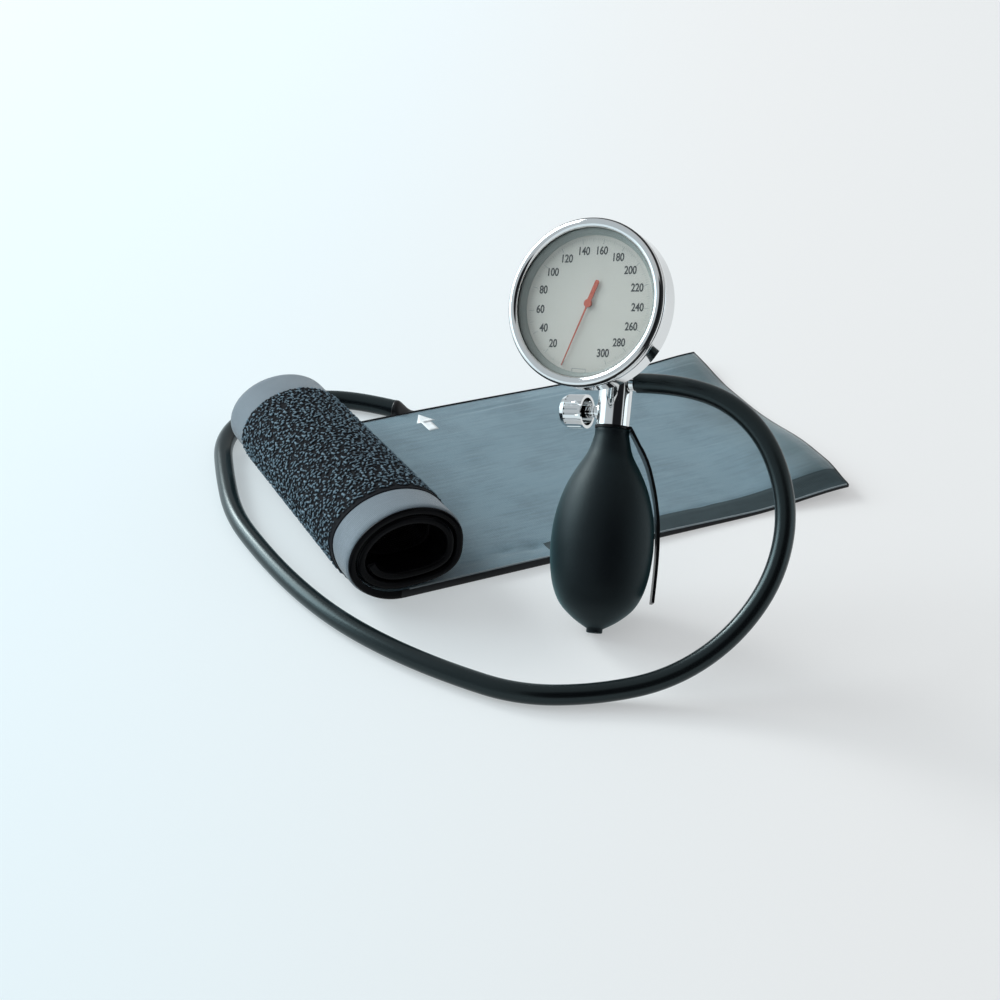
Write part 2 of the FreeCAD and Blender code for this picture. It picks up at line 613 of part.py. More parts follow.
def sector_gear():
    """Toothed sector on its own arbor. At rest the pinion is near the last of its teeth."""
    toward = SECTOR_AZIMUTH + 180.0
    pitch_angle = 360.0 / SECTOR_TEETH
    pitch = MODULE * SECTOR_TEETH / 2
    first = 3 - SECTOR_CUT
    corners = []
    for k in range(first, first + SECTOR_CUT):
        corners += tooth_points(SECTOR_TEETH, radians(toward + (k + 0.5) * pitch_angle))
    end_angle = radians(toward + (first + SECTOR_CUT + 0.3) * pitch_angle)
    start_angle = radians(toward + (first - 0.3) * pitch_angle)
    rim_r = pitch - 1.0 * MODULE
    rim = [Vec(rim_r * cos(start_angle), rim_r * sin(start_angle), 0)] + corners
    rim += [Vec(rim_r * cos(end_angle), rim_r * sin(end_angle), 0)]
    inner_r = pitch - 3.2
    steps = 8
    for k in range(steps + 1):
        angle = end_angle + (start_angle - end_angle) * k / steps
        rim.append(Vec(inner_r * cos(angle), inner_r * sin(angle), 0))
    low = BASE_PLATE + PLATE_T + 1.0
    toothed = gear_blank(rim, low, low + 0.8)
    arms = []
    for angle in (start_angle + 0.02, end_angle - 0.02):
        arm = Part.makeBox(inner_r + 0.6, 1.4, 0.8, Vec(0, -0.7, low))
        arm.rotate(Vec(0, 0, 0), UP, degrees(angle))
        arms.append(arm)
    hub = drum(2.2, low - 0.3, low + 1.4)
    gear = fuse_all([toothed, hub] + arms)
    arbor = drum(ARBOR_R, BASE_PLATE + 0.1, TOP_PLATE + PLATE_T - 0.1)
    gear = gear.fuse(arbor).removeSplitter()
    gear.translate(sector_centre())
    return gear


def pointer():
    """Thin needle with a broad tail, pointing up; the arbor carries it on a small boss."""
    low = DIAL_FACE + 0.75
    high = low + 0.3
    blade = [(-0.35, 0.0), (-0.16, 27.7), (0.16, 27.7), (0.35, 0.0), (0.95, -1.6), (0.95, -9.8), (0.5, -10.3),
             (-0.5, -10.3), (-0.95, -9.8), (-0.95, -1.6)]
    face = Part.Face(Part.makePolygon([Vec(x, y, low) for x, y in blade + blade[:1]]))
    boss = drum(1.7, low - 0.2, high + 0.3)
    needle = face.extrude(Vec(0, 0, high - low)).fuse(boss)
    needle = needle.cut(drum(ARBOR_R, low - 1, DIAL_FACE + 1.2)).removeSplitter()
    needle.rotate(Vec(0, 0, 0), UP, -ZERO_ANGLE)
    return needle


ZERO_ANGLE = 200.5            # clockwise from the top of the dial


def movement_plates():
    hole_r = ARBOR_R + 0.05
    centre = sector_centre()
    base = drum(MOVEMENT_R, BASE_PLATE, BASE_PLATE + PLATE_T)
    top = drum(MOVEMENT_R - 2.0, TOP_PLATE, TOP_PLATE + PLATE_T)
    pivots = [drum(hole_r, 20, 32), drum(hole_r, 20, 32, centre.x, centre.y)]
    side_cuts = [Part.makeBox(12, 60, 10, Vec(side, -30, 26)) for side in (16.0, -28.0)]
    base = cut_all(base, pivots)
    top = cut_all(top, pivots + side_cuts)
    return base, top


def pillar_places():
    return [(0.0, 23.5), (13.5, -20.0), (-15.0, 18.0)]


def movement_nodes():
    base, top = movement_plates()
    pillars = []
    screws = []
    for x, y in pillar_places():
        pillars.append(drum(1.5, BASE_PLATE + PLATE_T, TOP_PLATE, x, y))
        screws.append(drum(1.3, TOP_PLATE + PLATE_T, TOP_PLATE + PLATE_T + 0.9, x, y))
    posts = []
    for k in range(3):
        angle = radians(30 + 120 * k)
        x = (MOVEMENT_R - 1.6) * cos(angle)
        y = (MOVEMENT_R - 1.6) * sin(angle)
        posts.append(drum(1.3, CASE_BACK + CASE_WALL, BASE_PLATE, x, y))
    return {
        "movement_base_plate": base,
        "movement_top_plate": top,
        "movement_pillars": Part.makeCompound(pillars),
        "movement_screws": Part.makeCompound(screws),
        "movement_posts": Part.makeCompound(posts),
        "pinion_arbor": pinion(),
        "sector_gear": sector_gear(),
        "pointer": pointer(),
        "hairspring": hairspring(),
    }


def hairspring():
    """Flat spiral that takes up the backlash, from the collet to a stud on the top plate."""
    low = TOP_PLATE - 0.65
    inner_r = 1.1
    outer_r = 4.2
    turns = 4
    count = 12 * turns
    side = []
    other = []
    for k in range(count + 1):
        angle = 2 * pi * turns * k / count
        radius = inner_r + (outer_r - inner_r) * k / count
        side.append(Vec(radius * cos(angle), radius * sin(angle), low))
        other.append(Vec((radius + 0.15) * cos(angle), (radius + 0.15) * sin(angle), low))
    corners = side + other[::-1]
    strip = Part.Face(Part.makePolygon(corners + corners[:1])).extrude(Vec(0, 0, 0.35))
    stud = drum(0.5, low - 0.1, TOP_PLATE, outer_r + 0.5, 0)
    return strip.fuse(stud).removeSplitter()


def capsule_nodes():
    """Corrugated capsule on the channel plate that leads the air from the stem to it."""
    back = CAPSULE_BACK
    front = CAPSULE_FRONT
    skin = 0.4
    capsule = drum(CAPSULE_R, back, front)
    corrugations = [ring(r + 1.4, r, z, z + 0.5) for r in (6.0, 10.0, 14.0) for z in (back, front - 0.5)]
    hollow = drum(CAPSULE_R - 1.2, back + 0.5 + skin, front - 0.5 - skin)
    capsule = cut_all(capsule, corrugations + [hollow, drum(0.8, back - 1, back + 1)])
    floor_z = STEP_BACK + CASE_WALL
    plate = drum(6.0, floor_z, back)
    plate = plate.fuse(drum(5.5, floor_z, back, 0, stem_offset()))
    plate = plate.fuse(Part.makeBox(9, -stem_offset(), back - floor_z, Vec(-4.5, stem_offset(), floor_z)))
    plate = plate.cut(drum(3.4, floor_z - 1, back - 0.5, 0, stem_offset()))
    channel = Part.makeBox(1.4, -stem_offset(), 0.7, Vec(-0.7, stem_offset(), back - 1.3))
    plate = plate.cut(channel).cut(drum(0.7, back - 1.3, back + 1)).removeSplitter()
    rod = drum(0.8, front, BASE_PLATE - 1.2).fuse(drum(2.0, front, front + 0.4)).removeSplitter()
    return {"diaphragm_capsule": capsule, "channel_plate": plate, "push_rod": rod}


def gauge_nodes():
    nodes = {"gauge_case": gauge_case(), "bezel_ring": bezel_ring()}
    nodes.update(lens_and_seal())
    nodes.update(dial_pieces())
    nodes.update(movement_nodes())
    nodes.update(capsule_nodes())
    return {name: placed(shape, GAUGE) for name, shape in nodes.items()}


# ---------------------------------------------------------------- output
def main():
    os.makedirs("parts", exist_ok=True)
    nodes = {}
    nodes.update(cuff_nodes())
    nodes.update(hand_unit_nodes())
    nodes.update(fitting_nodes())
    nodes.update(gauge_nodes())
    nodes["hose"] = hose()
    for name, shape in nodes.items():
        if not shape.isValid():
            print("not valid:", name)
        shape.exportStep("parts/%s.step" % name)
        box = shape.BoundBox
        print("%-22s solids %d volume %9.1f" % (name, len(shape.Solids), shape.Volume), box)


main()
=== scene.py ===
from math import ceil, copysign, cos, exp, floor, hypot, pi, radians, sin

import bmesh
import bpy
from mathutils import Matrix, Vector, noise


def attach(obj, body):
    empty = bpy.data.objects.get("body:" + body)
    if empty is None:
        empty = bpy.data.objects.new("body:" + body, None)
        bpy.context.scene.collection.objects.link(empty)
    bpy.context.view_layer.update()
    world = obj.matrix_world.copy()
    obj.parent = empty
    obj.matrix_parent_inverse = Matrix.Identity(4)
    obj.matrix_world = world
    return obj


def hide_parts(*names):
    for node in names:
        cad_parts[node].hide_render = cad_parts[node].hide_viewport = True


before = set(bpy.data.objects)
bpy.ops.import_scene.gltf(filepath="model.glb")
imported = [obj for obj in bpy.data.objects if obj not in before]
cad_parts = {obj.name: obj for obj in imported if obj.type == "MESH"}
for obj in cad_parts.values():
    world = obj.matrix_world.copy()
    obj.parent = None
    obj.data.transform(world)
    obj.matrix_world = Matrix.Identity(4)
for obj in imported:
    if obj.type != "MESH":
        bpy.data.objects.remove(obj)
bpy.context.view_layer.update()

MM = 0.001
ROOT = "instrument"
scene = bpy.context.scene
scene.view_settings.view_transform = "Standard"
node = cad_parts

# ------------------------------------------------------------------ camera
AZIMUTH = radians(29.0)
ELEVATION = radians(31.0)
ROLL = radians(3.5)
LENS_MM = 90.0
SENSOR_MM = 36.0
CLIP_START = 0.05
CLIP_END = 40.0
TARGET = Vector((-0.050, -0.127, 0.0))
TARGET_DEPTH = 1.046
TARGET_RIGHT = 0.04038
TARGET_UP = -0.05690


def add_camera():
    """Camera from its direction and from where the target point lies in its own frame."""
    turn = Matrix.Rotation(-AZIMUTH, 3, "Z")
    forward = turn @ Vector((0, cos(ELEVATION), -sin(ELEVATION)))
    level_right = turn @ Vector((1, 0, 0))
    level_up = turn @ Vector((0, sin(ELEVATION), cos(ELEVATION)))
    right = cos(ROLL) * level_right + sin(ROLL) * level_up
    up = -sin(ROLL) * level_right + cos(ROLL) * level_up
    place = TARGET - forward * TARGET_DEPTH - right * TARGET_RIGHT - up * TARGET_UP
    data = bpy.data.cameras.new("camera")
    data.lens = LENS_MM
    data.sensor_width = SENSOR_MM
    data.clip_start = CLIP_START
    data.clip_end = CLIP_END
    camera = bpy.data.objects.new("camera", data)
    camera.matrix_world = Matrix((
        (right.x, up.x, -forward.x, place.x),
        (right.y, up.y, -forward.y, place.y),
        (right.z, up.z, -forward.z, place.z),
        (0, 0, 0, 1),
    ))
    scene.collection.objects.link(camera)
    scene.camera = camera
    return forward, right, level_right


VIEW_FORWARD, VIEW_RIGHT, LEVEL_RIGHT = add_camera()
LEVEL_AWAY = Vector((sin(AZIMUTH), cos(AZIMUTH), 0))


# ------------------------------------------------------------------ hand unit's own frame
FOOT = Vector((-0.0515, -0.1273, 0.0))
HEADING = radians(-58.3)
LEAN = radians(36.6)
LEAN_AZIMUTH = radians(57.8)
NUB_R = 3.4 * MM
LEAN_AXIS = Vector((-sin(LEAN_AZIMUTH), cos(LEAN_AZIMUTH), 0))
UNIT = (Matrix.Translation(FOOT + Vector((0, 0, NUB_R * sin(LEAN)))) @ Matrix.Rotation(LEAN, 4, LEAN_AXIS)
        @ Matrix.Rotation(HEADING, 4, "Z"))
GAUGE_Z = 133.4 * MM
GAUGE = UNIT @ Matrix.Translation((0, 0, GAUGE_Z)) @ Matrix.Rotation(radians(90), 4, "X")
DIAL_FACE = 32.3 * MM
BARB_Z = 106.0 * MM
BARB_REACH = 10.0 * MM
HOSE_START = UNIT @ Vector((BARB_REACH, 0, BARB_Z))
HOSE_HEADING = UNIT.to_3x3() @ Vector((1, 0, 0))


# ------------------------------------------------------------------ material helpers
def new_material(name, colour, roughness, metallic=0.0, **sockets):
    material = bpy.data.materials.new(name)
    material.use_nodes = True
    shader = material.node_tree.nodes["Principled BSDF"]
    shader.inputs["Base Color"].default_value = (*colour, 1.0)
    shader.inputs["Roughness"].default_value = roughness
    shader.inputs["Metallic"].default_value = metallic
    for key, value in sockets.items():
        shader.inputs[key.replace("_", " ")].default_value = value
    return material


def add_node(tree, kind, **settings):
    made = tree.nodes.new(kind)
    for key, value in settings.items():
        if hasattr(made, key):
            setattr(made, key, value)
        else:
            made.inputs[key.replace("_", " ")].default_value = value
    return made


def shader_of(material):
    return material.node_tree.nodes["Principled BSDF"]


def ramp_between(tree, source, low, high, colour_a, colour_b):
    ramp = add_node(tree, "ShaderNodeValToRGB")
    ramp.color_ramp.elements[0].position = low
    ramp.color_ramp.elements[0].color = (*colour_a, 1.0)
    ramp.color_ramp.elements[1].position = high
    ramp.color_ramp.elements[1].color = (*colour_b, 1.0)
    tree.links.new(source, ramp.inputs["Fac"])
    return ramp.outputs["Color"]


def stretched_noise(tree, coords, stretch, **settings):
    """Noise on coordinates in metres, with its own scale along each of them."""
    where = add_node(tree, "ShaderNodeTexCoord")
    mapping = add_node(tree, "ShaderNodeMapping")
    mapping.inputs["Scale"].default_value = stretch
    grain = add_node(tree, "ShaderNodeTexNoise", Scale=1.0, **settings)
    tree.links.new(where.outputs[coords], mapping.inputs["Vector"])
    tree.links.new(mapping.outputs["Vector"], grain.inputs["Vector"])
    return grain.outputs["Fac"]


def mottle(material, colour_a, colour_b, scale, low=0.35, high=0.65):
    """Base colour wanders between two colours."""
    tree = material.node_tree
    grain = stretched_noise(tree, "Object", (scale, scale, scale), Detail=4.0)
    colour = ramp_between(tree, grain, low, high, colour_a, colour_b)
    tree.links.new(colour, shader_of(material).inputs["Base Color"])


def bump_from(material, height, strength, distance):
    tree = material.node_tree
    bump = add_node(tree, "ShaderNodeBump", Strength=strength, Distance=distance)
    tree.links.new(height, bump.inputs["Height"])
    tree.links.new(bump.outputs["Normal"], shader_of(material).inputs["Normal"])


def grain_bump(material, scale, strength, distance):
    grain = stretched_noise(material.node_tree, "Object", (scale, scale, scale), Detail=3.0)
    bump_from(material, grain, strength, distance)


def wear_roughness(material, low, high, scale):
    """Roughness varies a little, as handled surfaces do."""
    tree = material.node_tree
    grain = stretched_noise(tree, "Object", (scale, scale, scale), Detail=5.0)
    span = add_node(tree, "ShaderNodeMapRange")
    span.inputs["To Min"].default_value = low
    span.inputs["To Max"].default_value = high
    tree.links.new(grain, span.inputs["Value"])
    tree.links.new(span.outputs["Result"], shader_of(material).inputs["Roughness"])


RIB_SCALE = 0.314             # the wave texture has one band per unit at this scale


def rib_wave(tree, direction, pitch, distortion):
    """Fine ribs on UVs in metres, pitch apart."""
    where = add_node(tree, "ShaderNodeTexCoord")
    wave = add_node(tree, "ShaderNodeTexWave", bands_direction=direction)
    wave.inputs["Scale"].default_value = RIB_SCALE / pitch
    wave.inputs["Distortion"].default_value = distortion
    wave.inputs["Detail"].default_value = 1.0
    wave.inputs["Detail Scale"].default_value = 0.6
    tree.links.new(where.outputs["UV"], wave.inputs["Vector"])
    return wave.outputs["Fac"]


def weighted_sum(tree, first, weight, second):
    total = add_node(tree, "ShaderNodeMath", operation="MULTIPLY_ADD")
    tree.links.new(first, total.inputs[0])
    total.inputs[1].default_value = weight
    tree.links.new(second, total.inputs[2])
    return total.outputs["Value"]


SPECKLE = 0.30                # how much single threads differ in shade
SHADE_STRETCH = (26.0, 26.0, 1.0)         # slow changes, slubs and single threads, per metre of cloth
SLUB_STRETCH = (60.0, 620.0, 1.0)
THREAD_STRETCH = (900.0, 1300.0, 1.0)


def woven(name, colour_a, colour_b, pitch, roughness, depth, streak=0.55, **sockets):
    """Plain weave: warp and weft ribs, lengthwise slubs, and slow changes of shade."""
    material = new_material(name, colour_a, roughness, **sockets)
    tree = material.node_tree
    weave = add_node(tree, "ShaderNodeMath", operation="MULTIPLY")
    tree.links.new(rib_wave(tree, "X", pitch, 1.2), weave.inputs[0])
    tree.links.new(rib_wave(tree, "Y", pitch, 1.2), weave.inputs[1])
    slow = stretched_noise(tree, "UV", SHADE_STRETCH, Detail=6.0, Roughness=0.62)
    slubs = stretched_noise(tree, "UV", SLUB_STRETCH, Detail=3.0)
    speckle = stretched_noise(tree, "UV", THREAD_STRETCH, Detail=2.0)
    shade = weighted_sum(tree, speckle, SPECKLE, weighted_sum(tree, slubs, streak, slow))
    low = 0.5 * SPECKLE + 0.5 + 0.2 * streak
    high = 0.5 * SPECKLE + 0.6 + 0.6 * streak
    colour = ramp_between(tree, shade, low, high, colour_a, colour_b)
    tree.links.new(colour, shader_of(material).inputs["Base Color"])
    bump_from(material, weighted_sum(tree, slubs, 1.4 * streak, weave.outputs["Value"]), 0.6, depth)
    return material


def painted_shade_along(material, start, end, tint):
    """Painted shade: base colour is darkened by the tint near the start of the strip and is itself from the
    end value on, in metres.
    """
    tree = material.node_tree
    socket = shader_of(material).inputs["Base Color"]
    colour = socket.links[0].from_socket
    where = add_node(tree, "ShaderNodeTexCoord")
    split = add_node(tree, "ShaderNodeSeparateXYZ")
    tree.links.new(where.outputs["UV"], split.inputs["Vector"])
    span = add_node(tree, "ShaderNodeMapRange", interpolation_type="SMOOTHSTEP")
    span.inputs["From Min"].default_value = start
    span.inputs["From Max"].default_value = end
    tree.links.new(split.outputs["X"], span.inputs["Value"])
    shade = ramp_between(tree, span.outputs["Result"], 0.0, 1.0, tint, (1.0, 1.0, 1.0))
    mix = add_node(tree, "ShaderNodeMix", data_type="RGBA", blend_type="MULTIPLY")
    mix.inputs["Factor"].default_value = 1.0
    tree.links.new(colour, mix.inputs[6])
    tree.links.new(shade, mix.inputs[7])
    tree.links.new(mix.outputs[2], socket)


RUBBER_MOTTLE = 38.0
METAL_WEAR = (0.8, 1.3, 120.0)            # least and most of the roughness, and noise per metre


def rubber(name, colour, lighter, roughness, grain=900.0, **sockets):
    material = new_material(name, colour, roughness, **sockets)
    mottle(material, colour, lighter, RUBBER_MOTTLE)
    grain_bump(material, grain, 0.25, 0.00010)
    return material


def metal(name, colour, roughness, grain=None):
    material = new_material(name, colour, roughness, metallic=1.0)
    least, most, scale = METAL_WEAR
    wear_roughness(material, roughness * least, roughness * most, scale)
    if grain:
        grain_bump(material, grain, 0.2, 0.00005)
    return material


def painted(name, colour, lighter, roughness, scale, grain=None, **sockets):
    material = new_material(name, colour, roughness, **sockets)
    mottle(material, colour, lighter, scale)
    if grain:
        grain_bump(material, grain, 0.12, 0.00004)
    return material


# ------------------------------------------------------------------ materials
TEAL = (0.72, 0.96, 1.0, 1.0)                 # tint of the rubber's highlights
BULB_SHEEN = (0.30, 0.80, 0.88, 1.0)
HOSE_SHEEN = (0.35, 0.82, 0.90, 1.0)
NEAR_BLACK = ((0.0012, 0.0012, 0.0018), (0.0025, 0.0025, 0.0035))
BULB_RUBBER = rubber("bulb_matte_rubber", (0.0034, 0.0034, 0.0048), (0.0046, 0.0047, 0.0064), 0.46,
                     Specular_IOR_Level=0.19, Specular_Tint=TEAL, Sheen_Weight=0.24, Sheen_Roughness=0.42,
                     Sheen_Tint=BULB_SHEEN)
HOSE_RUBBER = rubber("hose_satin_rubber", (0.0030, 0.0034, 0.0042), (0.0044, 0.0050, 0.0058), 0.27,
                     grain=500.0, Specular_IOR_Level=0.42, Specular_Tint=TEAL, Sheen_Weight=0.08,
                     Sheen_Roughness=0.4, Sheen_Tint=HOSE_SHEEN)
PORT_RUBBER = rubber("port_rubber", (0.004, 0.0046, 0.0054), (0.006, 0.007, 0.008), 0.36,
                     Specular_IOR_Level=0.3)
BALL_RUBBER = rubber("ball_rubber_red", (0.25, 0.09, 0.05), (0.32, 0.12, 0.07), 0.5)
CHROME = metal("chrome_plate", (0.80, 0.815, 0.82), 0.05)
STEEL = metal("turned_steel", (0.56, 0.57, 0.58), 0.24, grain=1500.0)
BRASS = metal("machined_brass", (0.71, 0.54, 0.25), 0.25, grain=1300.0)
BRONZE = metal("capsule_bronze_sheet", (0.64, 0.42, 0.22), 0.22, grain=700.0)
DARK_STEEL = painted("black_spring_steel", (0.0022, 0.0024, 0.0032), (0.0034, 0.0036, 0.0046), 0.34,
                     90.0, 700.0, Specular_IOR_Level=0.2)
DIAL_PAINT = painted("dial_enamel", (0.52, 0.505, 0.455), (0.545, 0.53, 0.48), 0.55, 55.0, 2600.0)
# the wall's dark grey-green is partly its own colour and partly painted shade of the recess round the dial
DIAL_WALL = painted("dial_wall_grey", (0.24, 0.275, 0.255), (0.27, 0.305, 0.285), 0.5, 90.0)
PRINT = painted("dial_print_black", (0.004, 0.005, 0.005), (0.010, 0.011, 0.011), 0.6, 800.0)
FAINT_PRINT = painted("dial_print_grey", (0.21, 0.23, 0.22), (0.28, 0.30, 0.29), 0.6, 800.0)
WHITE_PRINT = painted("cloth_print_white", (0.74, 0.78, 0.80), (0.84, 0.87, 0.88), 0.7, 500.0, 2200.0)
POINTER_RED = painted("pointer_paint", (0.40, 0.045, 0.014), (0.47, 0.065, 0.022), 0.50, 300.0,
                      Specular_IOR_Level=0.3)
LENS = new_material("clear_lens", (0.9, 0.94, 0.93), 0.03, Alpha=0.04)
wear_roughness(LENS, 0.02, 0.05, 150.0)
CLOTH_OUT = woven("cuff_cloth_outer", (0.115, 0.150, 0.180), (0.148, 0.186, 0.220), 0.0006, 0.70, 0.00022,
                  streak=0.3, Sheen_Weight=0.3, Sheen_Roughness=0.45)
CLOTH_IN = woven("cuff_cloth_inner", (0.080, 0.150, 0.190), (0.122, 0.212, 0.262), 0.0007, 0.52, 0.00022,
                 Specular_IOR_Level=0.6, Sheen_Weight=0.45, Sheen_Roughness=0.4)
# painted shade: the upper cloth darkens over its last 40 mm towards the free end
painted_shade_along(CLOTH_IN, 0.003, 0.040, (0.45, 0.50, 0.47))
# the near hem's darker cloth: partly its own tone, partly painted shade of the sloping edge
HEM_CLOTH_AND_SHADE = woven("cuff_hem_cloth_and_painted_shade", (0.021, 0.039, 0.046), (0.030, 0.052, 0.060), 0.0007, 0.6, 0.00016,
                  Specular_IOR_Level=0.4)
# painted highlight: the rim is lighter than the cloth for the light its top edge catches
PIPING_HIGHLIGHT = woven("cuff_edge_piping_painted_highlight", (0.20, 0.24, 0.26), (0.27, 0.31, 0.33), 0.0006, 0.5, 0.00008)
TAPE = woven("cuff_binding_tape", (0.003, 0.0035, 0.0045), (0.006, 0.007, 0.009), 0.0007, 0.45, 0.00010,
             Specular_IOR_Level=0.25)
# the binding tape where it runs round the roll, darker and duller than on the flat: painted shade of the
# roll's ends
ROLL_EDGE_SHADED = woven("cuff_roll_edge_tape_painted_shade", *NEAR_BLACK, 0.0010, 0.20, 0.00012, Specular_IOR_Level=0.06)
# painted shade: the cloth inside the roll is made near-black instead of its own colour
ROLL_INSIDE_SHADE = woven("cuff_roll_inside_painted_shade", *NEAR_BLACK, 0.0010, 0.30, 0.00015, Specular_IOR_Level=0.25)
HOOK = woven("cuff_hook_tape", (0.0015, 0.0015, 0.002), (0.003, 0.003, 0.004), 0.0014, 0.45, 0.0004,
             Specular_IOR_Level=0.25)

NODE_MATERIALS = {
    "lens_gasket": PORT_RUBBER,
    "intake_valve_ball": BALL_RUBBER, "outlet_valve_ball": BALL_RUBBER,
    "valve_body": CHROME, "release_knob": CHROME, "hose_barb": CHROME, "gauge_stem": CHROME,
    "gauge_case": CHROME, "bezel_ring": CHROME, "release_screw": CHROME,
    "intake_valve_body": STEEL, "intake_valve_cage": STEEL, "intake_filter": STEEL,
    "needle_pin": STEEL, "movement_screws": STEEL, "pinion_arbor": STEEL, "push_rod": STEEL,
    "outlet_valve_seat": BRASS, "outlet_valve_cage": BRASS, "movement_base_plate": BRASS,
    "movement_top_plate": BRASS, "movement_pillars": BRASS, "movement_posts": BRASS, "sector_gear": BRASS,
    "channel_plate": BRASS, "hairspring": BRONZE, "diaphragm_capsule": BRONZE,
    "finger_clip": DARK_STEEL, "dial_plate": DIAL_PAINT, "dial_wall_ring": DIAL_WALL, "lens": LENS,
    "pointer": POINTER_RED,
}


def dress_nodes():
    for name, material in NODE_MATERIALS.items():
        mesh = node[name].data
        mesh.materials.clear()
        mesh.materials.append(material)


# ------------------------------------------------------------------ mesh helpers
def mesh_object(name, vertices, faces, materials, uvs=None, face_material=None):
    mesh = bpy.data.meshes.new(name)
    mesh.from_pydata([tuple(v) for v in vertices], [], faces)
    if uvs:
        layer = mesh.uv_layers.new(name="metres")
        for loop in mesh.loops:
            layer.data[loop.index].uv = uvs[loop.vertex_index]
    for polygon in mesh.polygons:
        polygon.use_smooth = True
        if face_material:
            polygon.material_index = face_material[polygon.index]
    for material in materials:
        mesh.materials.append(material)
    made = bpy.data.objects.new(name, mesh)
    scene.collection.objects.link(made)
    return made


def tube_faces(rings, sides):
    """Faces of a closed tube whose rings of vertices follow one another."""
    faces = []
    for i in range(rings - 1):
        for k in range(sides):
            a, b = i * sides + k, i * sides + (k + 1) % sides
            faces.append((a, b, b + sides, a + sides))
    last = (rings - 1) * sides
    faces.append(tuple(range(sides)))
    faces.append(tuple(last + k for k in reversed(range(sides))))
    return faces


def outward(made):
    work = bmesh.new()
    work.from_mesh(made.data)
    bmesh.ops.recalc_face_normals(work, faces=work.faces)
    work.to_mesh(made.data)
    work.free()
    return made


def settle(piece, body, slot, *nodes):
    if nodes:
        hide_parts(*nodes)
    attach(piece, body)
    return piece


def smooth_step(low, high, value):
    share = min(max((value - low) / (high - low), 0.0), 1.0)
    return share * share * (3.0 - 2.0 * share)


def mixed(a, b, share):
    return a + (b - a) * share


# ------------------------------------------------------------------ hose
HOSE_RADIUS = 4.25
HOSE_R = HOSE_RADIUS * MM
HOSE_END = Vector((-47.9, 73.5, HOSE_RADIUS)) * MM
HOSE_END_HEADING = Vector((0.66, -0.752, 0.0)).normalized()
FIRST_RUN = 28.0 * MM
LAST_RUN = 22.2 * MM
HOSE_ROUTE = [
    (17, -133, 90), (17, -158, 68), (4, -174, 45), (-18, -180, 24), (-45, -178, 9.5),
    (-74, -169, HOSE_RADIUS), (-103, -157, HOSE_RADIUS), (-122, -132, HOSE_RADIUS),
    (-137, -106, HOSE_RADIUS), (-148, -78, HOSE_RADIUS), (-154, -48, HOSE_RADIUS),
    (-156.3, -17, HOSE_RADIUS), (-156, 14, HOSE_RADIUS), (-147, 46.6, HOSE_RADIUS),
    (-135.8, 78, HOSE_RADIUS), (-113.4, 96.2, HOSE_RADIUS), (-85, 99.4, HOSE_RADIUS),
]


def make_hose():
    """Tube along part.py's own route points."""
    points = [HOSE_START, HOSE_START + HOSE_HEADING * FIRST_RUN]
    points += [Vector(p) * MM for p in HOSE_ROUTE]
    points += [HOSE_END - HOSE_END_HEADING * LAST_RUN, HOSE_END]
    curve = bpy.data.curves.new("hose_tube", "CURVE")
    curve.dimensions = "3D"
    spline = curve.splines.new("NURBS")
    spline.points.add(len(points) - 1)
    for place, point in zip(points, spline.points):
        point.co = (*place, 1.0)
    spline.order_u = 3
    spline.use_endpoint_u = True
    spline.resolution_u = 16
    curve.bevel_depth = HOSE_R
    curve.bevel_resolution = 12
    curve.use_fill_caps = True
    curve.materials.append(HOSE_RUBBER)
    hose = bpy.data.objects.new("hose_tube", curve)
    scene.collection.objects.link(hose)
    settle(hose, ROOT, "hose_rubber", "hose")


# ------------------------------------------------------------------ moulded end of the bladder's tube
PORT_RINGS = 28
PORT_SIDES = 40
PORT_START = -1.5             # along the hose's own heading, from its end
PORT_LENGTH = 12.0
PORT_FLATTENS = (-0.5, 5.0)
PORT_ROUND = (4.32, 4.32, 4.32)      # half width, half height and height of the centre at the hose
PORT_FLAT = (5.8, 1.45, 2.0)         # the same between the cloths


def make_port():
    """The round tube goes over into a flat mouth that lies between the two cloths."""
    aside = Vector((-HOSE_END_HEADING.y, HOSE_END_HEADING.x, 0.0))
    vertices = []
    for i in range(PORT_RINGS + 1):
        along = PORT_START + (PORT_LENGTH - PORT_START) * i / PORT_RINGS
        share = smooth_step(*PORT_FLATTENS, along)
        width, height, middle = (mixed(a, b, share) for a, b in zip(PORT_ROUND, PORT_FLAT))
        centre = HOSE_END + HOSE_END_HEADING * along * MM
        centre.z = 0.0
        for k in range(PORT_SIDES):
            angle = 2 * pi * k / PORT_SIDES
            rim = aside * width * cos(angle) + Vector((0, 0, middle + height * sin(angle)))
            vertices.append(centre + rim * MM)
    faces = tube_faces(PORT_RINGS + 1, PORT_SIDES)
    port = outward(mesh_object("bladder_tube_end", vertices, faces, [PORT_RUBBER]))
    settle(port, ROOT, "black_rubber", "tube_port")


# ------------------------------------------------------------------ bulb
BULB_OUTLINE = [(3.4, 1.8), (9.4, 5.5), (15.2, 10.8), (18.6, 17.0), (20.5, 24.0), (21.4, 31.5),
                (21.6, 38.5), (21.0, 46.5), (19.4, 54.5), (16.8, 62.2), (13.2, 69.3), (9.4, 76.0),
                (7.3, 83.5)]
BULB_WALL = 2.3
COLLAR_R = 7.3
COLLAR_TOP = 86.2
COLLAR_BORE = 5.6
INTAKE_R = 2.2
BULB_FACETS = 144


